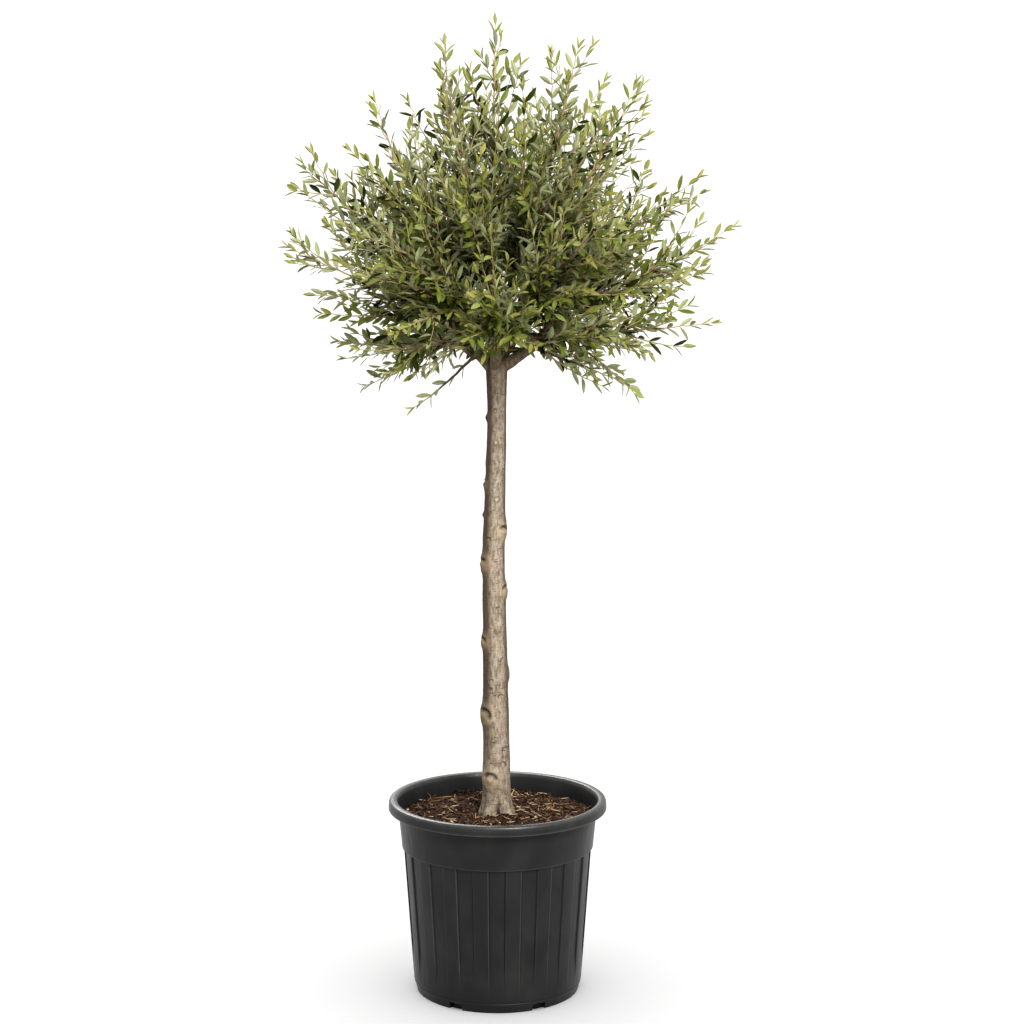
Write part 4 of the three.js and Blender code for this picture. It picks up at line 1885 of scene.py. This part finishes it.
class Foliage:
    """Puts leaves on shoots and shapes them."""

    # How long a shoot's young tip is, in millimetres.
    TIP_ZONES = {
        ShootKind.LEADER: 50.0,
        ShootKind.SIDE: 42.0,
        ShootKind.SPRIG: 24.0,
        ShootKind.INNER: 12.0,
    }
    # How likely a spray is old and dark, mature, or grey-green; inner sprigs take the
    # dark tone more often, as painted shade inside the head.
    TONE_SHARES = {
        ShootKind.LEADER: (0.25, 0.45, 0.3),
        ShootKind.SIDE: (0.25, 0.45, 0.3),
        ShootKind.SPRIG: (0.22, 0.45, 0.33),
        ShootKind.INNER: (0.5, 0.35, 0.15),
    }

    OLD_AND_SHADED_SHARE = 0.28  # of a shoot's length, where old dark leaves still hang on, their dark tone also painted shade deep in the crown

    def __init__(self, size: LeafSize, rng: np.random.Generator) -> None:
        """Prepares one batch for each sector.

        Args:
            size: Sizes of the leaves.
            rng: Seeded random numbers.
        """
        self.size = size
        self.rng = rng
        self.shape = LeafShape()
        self.tones = list(LeafTone)
        self.batches = {sector: LeafBatch() for sector in Sector}

    def dress(self, shoot: Shoot) -> None:
        """Sets opposite pairs of leaves along a shoot, each pair across the last.

        Args:
            shoot: The shoot.
        """
        s, rng = self.size, self.rng
        tangents, first, second = ring_frames(shoot.points)
        walked = walk(shoot.points)
        total = walked[-1]
        spray_tone = rng.choice(3, p=self.TONE_SHARES[shoot.kind])
        vigour = rng.uniform(0.88, 1.08)
        plane = rng.uniform(0, 2 * math.pi)
        lean = math.radians(s.pair_turn_deg)
        inner = shoot.kind is ShootKind.INNER
        slimness = s.inner_slimness if inner else s.slimness
        place = shoot.leaves_from * total + rng.uniform(0, 0.5) * s.internode_mm[0] * MM
        while place < total:
            left = (total - place) / MM
            age = float(smoothstep(0, self.TIP_ZONES[shoot.kind], left))
            at = [np.interp(place, walked, shoot.points[:, k]) for k in range(3)]
            row = min(int(np.searchsorted(walked, place)), len(walked) - 1)
            up = second[row] * math.cos(plane) - first[row] * math.sin(plane)
            up = up if up[2] > -0.3 else -up
            turn = plane + lean + rng.normal(0, 0.2)
            lean = -lean
            for half in (0, math.pi):
                if age > 0.95 and rng.random() < 0.05:
                    continue
                outward = first[row] * math.cos(turn + half)
                outward = outward + second[row] * math.sin(turn + half)
                stance = Stance(
                    np.array(at), tangents[row], outward, up, age, slimness
                )
                # Leaves near a shoot's base are old and dark, and their dark tone also
                # stands as painted shade inside the crown.
                old_and_shaded = rng.random() > place / total / self.OLD_AND_SHADED_SHARE
                tone = 0 if old_and_shaded else spray_tone
                self.leaf(shoot.sector, stance, tone, vigour)
            place += rng.uniform(*s.internode_mm) * (0.6 + 0.4 * age) * MM

    def leaf(
        self, sector: Sector, stance: Stance, spray_tone: int, vigour: float
    ) -> None:
        """Adds one leaf.

        Args:
            sector: The part of the crown it belongs to.
            stance: Where and how it leaves its shoot.
            spray_tone: Index of the spray's mature tone.
            vigour: Size of the spray's leaves beside the usual.
        """
        s, rng, age = self.size, self.rng, stance.age
        tangent, outward = stance.tangent, stance.outward
        batch = self.batches[sector]
        grown = rng.uniform(*s.length_mm) * vigour
        length = (s.tip_length_mm + (grown - s.tip_length_mm) * age**0.7) * MM
        open_deg = rng.uniform(*s.angle_deg) + rng.normal(0, 5)
        angle = math.radians(s.tip_angle_deg + (open_deg - s.tip_angle_deg) * age)
        along = tangent * math.cos(angle) + outward * math.sin(angle)
        along = unit(along + rng.normal(0, 0.07, 3) - 0.06 * age * UP)
        # A young upper face looks to the shoot, and a grown one lies in the spray.
        face = tangent * math.sin(angle) - outward * math.cos(angle)
        face = face * (1 - 0.62 * age) + 0.95 * age * stance.up
        face = face + 0.15 * age * UP + rng.normal(0, 0.24, 3)
        face = unit(face - along * np.dot(face, along))
        upper, lower = self.tone(age, spray_tone)
        batch.foot.append(stance.foot)
        batch.along.append(along)
        batch.face.append(face)
        batch.length.append(length)
        batch.width.append(length / rng.uniform(*stance.slimness))
        batch.bend.append(rng.normal(0.07, 0.05) + 0.04 * age)
        batch.fold.append(rng.uniform(0.08, 0.2) + 0.16 * (1 - age))
        batch.upper.append(upper)
        batch.lower.append(lower)

    def tone(self, age: float, spray_tone: int) -> tuple[int, int]:
        """Picks a leaf's two colours.

        Args:
            age: Zero at the shoot's tip, one for a full-grown leaf.
            spray_tone: Index of the spray's mature tone.

        Returns:
            Indices of the upper and the lower finish.
        """
        jitter = age + self.rng.normal(0, 0.08)
        under_young = self.tones.index(LeafTone.UNDER_YOUNG)
        if jitter < 0.22:
            return self.tones.index(LeafTone.FRESH), under_young
        if jitter < 0.65:
            return self.tones.index(LeafTone.YOUNG), under_young
        if self.rng.random() < 0.25:
            spray_tone = int(self.rng.integers(3))
        return spray_tone, self.tones.index(LeafTone.UNDER)

    def build(self, sector: Sector, replaced: Iterable[str]) -> bpy.types.Object:
        """Shapes a sector's leaves.

        Args:
            sector: The part of the crown.
            replaced: The masses of foliage they stand for.

        Returns:
            The piece, attached to the frame's root body.
        """
        batch = self.batches[sector]
        along, face = np.array(batch.along), np.array(batch.face)
        across = np.cross(along, face)
        length = np.array(batch.length)[:, None]
        width = np.array(batch.width)[:, None]
        x, y, fold, thick = self.shape.corners.T
        bend = np.array(batch.bend)[:, None]
        rise = np.array(batch.fold)[:, None] * fold * width
        rise = rise + thick * self.size.thickness_mm * MM
        rise = rise - bend * y**2 * length
        corners = (
            np.array(batch.foot)[:, None]
            + across[:, None] * (x * width)[..., None]
            + along[:, None] * (y * length)[..., None]
            + face[:, None] * rise[..., None]
        )
        leaves = len(length)
        template = np.concatenate([self.shape.upper, self.shape.lower])
        offsets = np.arange(leaves)[:, None, None] * len(self.shape.corners)
        upper = np.repeat(np.array(batch.upper)[:, None], len(self.shape.upper), 1)
        lower = np.repeat(np.array(batch.lower)[:, None], len(self.shape.lower), 1)
        soup = TriangleSoup([t.value for t in self.tones])
        soup.add(
            corners.reshape(-1, 3),
            (template + offsets).reshape(-1, 3),
            np.concatenate([upper, lower], 1).ravel(),
        )
        log.info("%s: %d leaves", sector.value, leaves)
        obj = soup.build(f"leaves_{sector.value}", False)
        return shown(obj, replaced)


def build_twigs(shoots: Sequence[Shoot], sector: Sector) -> bpy.types.Object:
    """Makes a sector's shoots as round tapering twigs.

    Args:
        shoots: Every shoot of the crown.
        sector: The part of the crown.

    Returns:
        The piece, attached to the frame's root body.
    """
    tones = list(TwigTone)
    soup = TriangleSoup([t.value for t in tones])
    for shoot in (s for s in shoots if s.sector is sector):
        sides = shoot.kind.value
        rows = len(shoot.points)
        share = np.linspace(0, 1, rows)
        radii = shoot.base_radius + (shoot.tip_radius - shoot.base_radius) * share
        rings = tube_rings(shoot.points, radii, sides)
        corners = np.concatenate([rings.reshape(-1, 3), shoot.points[-1:]])
        left = (1 - share[:-1]) * np.linalg.norm(shoot.points[-1] - shoot.points[0])
        tone = np.where(left < 45 * MM, 2, np.where(radii[:-1] > 1.7 * MM, 0, 1))
        tones_each = np.concatenate([np.repeat(tone, 2 * sides), [2] * sides])
        soup.add(corners, tube_triangles(rows, sides), tones_each)
    return shown(soup.build(f"twigs_{sector.value}", True), [])


# ---------------------------------------------------------------------- studio


@dataclass(frozen=True)
class Softbox:
    """A large soft lamp aimed at a point of the plant."""

    name: str
    place: tuple[float, float, float]
    aim: tuple[float, float, float]
    width: float
    power: float

    def build(self, lit: bpy.types.Collection) -> None:
        """Adds the lamp to the scene.

        Args:
            lit: What it lights.
        """
        data = bpy.data.lights.new(self.name, "AREA")
        data.shape = "SQUARE"
        data.size = self.width
        data.energy = self.power
        lamp = bpy.data.objects.new(self.name, data)
        lamp.location = self.place
        heading = Vector(self.aim) - Vector(self.place)
        lamp.rotation_euler = heading.to_track_quat("-Z", "Y").to_euler()
        bpy.context.collection.objects.link(lamp)
        lamp.light_linking.receiver_collection = lit


@dataclass(frozen=True)
class Studio:
    """A pale floor, soft light and the camera."""

    floor_radius: float = 40.0
    floor_colour: str = "#ffffff"
    sky_strength: float = 1.0
    camera_place: tuple[float, float, float] = (0.0274, -4.375, 1.548)
    camera_dip_deg: float = 8.18
    lens_mm: float = 83.2
    lamps: tuple[Softbox, ...] = (
        Softbox("key", (1.3, -3.6, 3.6), (0, 0, 1.1), 1.5, 370),
        Softbox("rear_fill", (-1.2, 3.6, 3.4), (0, 0, 1.1), 2.2, 200),
    )

    def build(self) -> None:
        """Sets up the stage, the lamps, the sky and the camera."""
        plant = bpy.data.collections.new("lit_plant")
        for obj in bpy.context.scene.objects:
            if obj.type == "MESH":
                plant.objects.link(obj)
        for lamp in self.lamps:
            lamp.build(plant)
        self.floor()
        world = bpy.data.worlds.new("studio")
        world.use_nodes = True
        background = world.node_tree.nodes["Background"]
        background.inputs["Color"].default_value = (1, 1, 1, 1)
        background.inputs["Strength"].default_value = self.sky_strength
        bpy.context.scene.world = world
        data = bpy.data.cameras.new("camera")
        data.lens = self.lens_mm
        data.sensor_width = 36
        data.clip_end = 200
        camera = bpy.data.objects.new("camera", data)
        camera.location = self.camera_place
        camera.rotation_euler = (math.radians(90 - self.camera_dip_deg), 0, 0)
        bpy.context.collection.objects.link(camera)
        bpy.context.scene.camera = camera
        view = bpy.context.scene.view_settings
        view.view_transform = "Standard"
        view.look = "Medium High Contrast"

    def floor(self) -> None:
        """Lays the floor."""
        bm = bmesh.new()
        bmesh.ops.create_circle(
            bm, cap_ends=True, radius=self.floor_radius, segments=64
        )
        mesh = bpy.data.meshes.new("floor")
        bm.to_mesh(mesh)
        bm.free()
        finish = PlainFinish("floor_matt_white", self.floor_colour, 0.9, 0.1)
        mesh.materials.append(finish.material())
        floor = bpy.data.objects.new("floor", mesh)
        bpy.context.collection.objects.link(floor)


# ------------------------------------------------------------------------ main


def main() -> None:
    """Builds the plant and its studio."""
    rng = np.random.default_rng(SEED)
    Container(PotSize()).build(PotPlastic().material())
    soil = SoilBed(SoilSize(), rng)
    soil.bed(PottingMix().material())
    soil.mulch()
    bark = OliveBark().material()
    stem = Stem(BarkSize())
    stem.build(bark)
    crown = Crown(GrowthSize(), rng)
    boughs = Boughs(stem, crown.entries())
    # The boughs take a darker copy of the bark, as painted shade under the crown.
    shaded = OliveBark("shaded_bough_bark", "#6c5f4c", "#514636", "#372b1f")
    boughs.build(shaded.material())
    shoots = crown.grow(boughs.limbs.values())
    foliage = Foliage(LeafSize(), rng)
    for shoot in shoots:
        foliage.dress(shoot)
    for sector in Sector:
        masses = [m.name for m in crown.masses if m.sector is sector]
        foliage.build(sector, masses)
        build_twigs(shoots, sector)
    Studio().build()


if __name__ == "__main__":
    main()
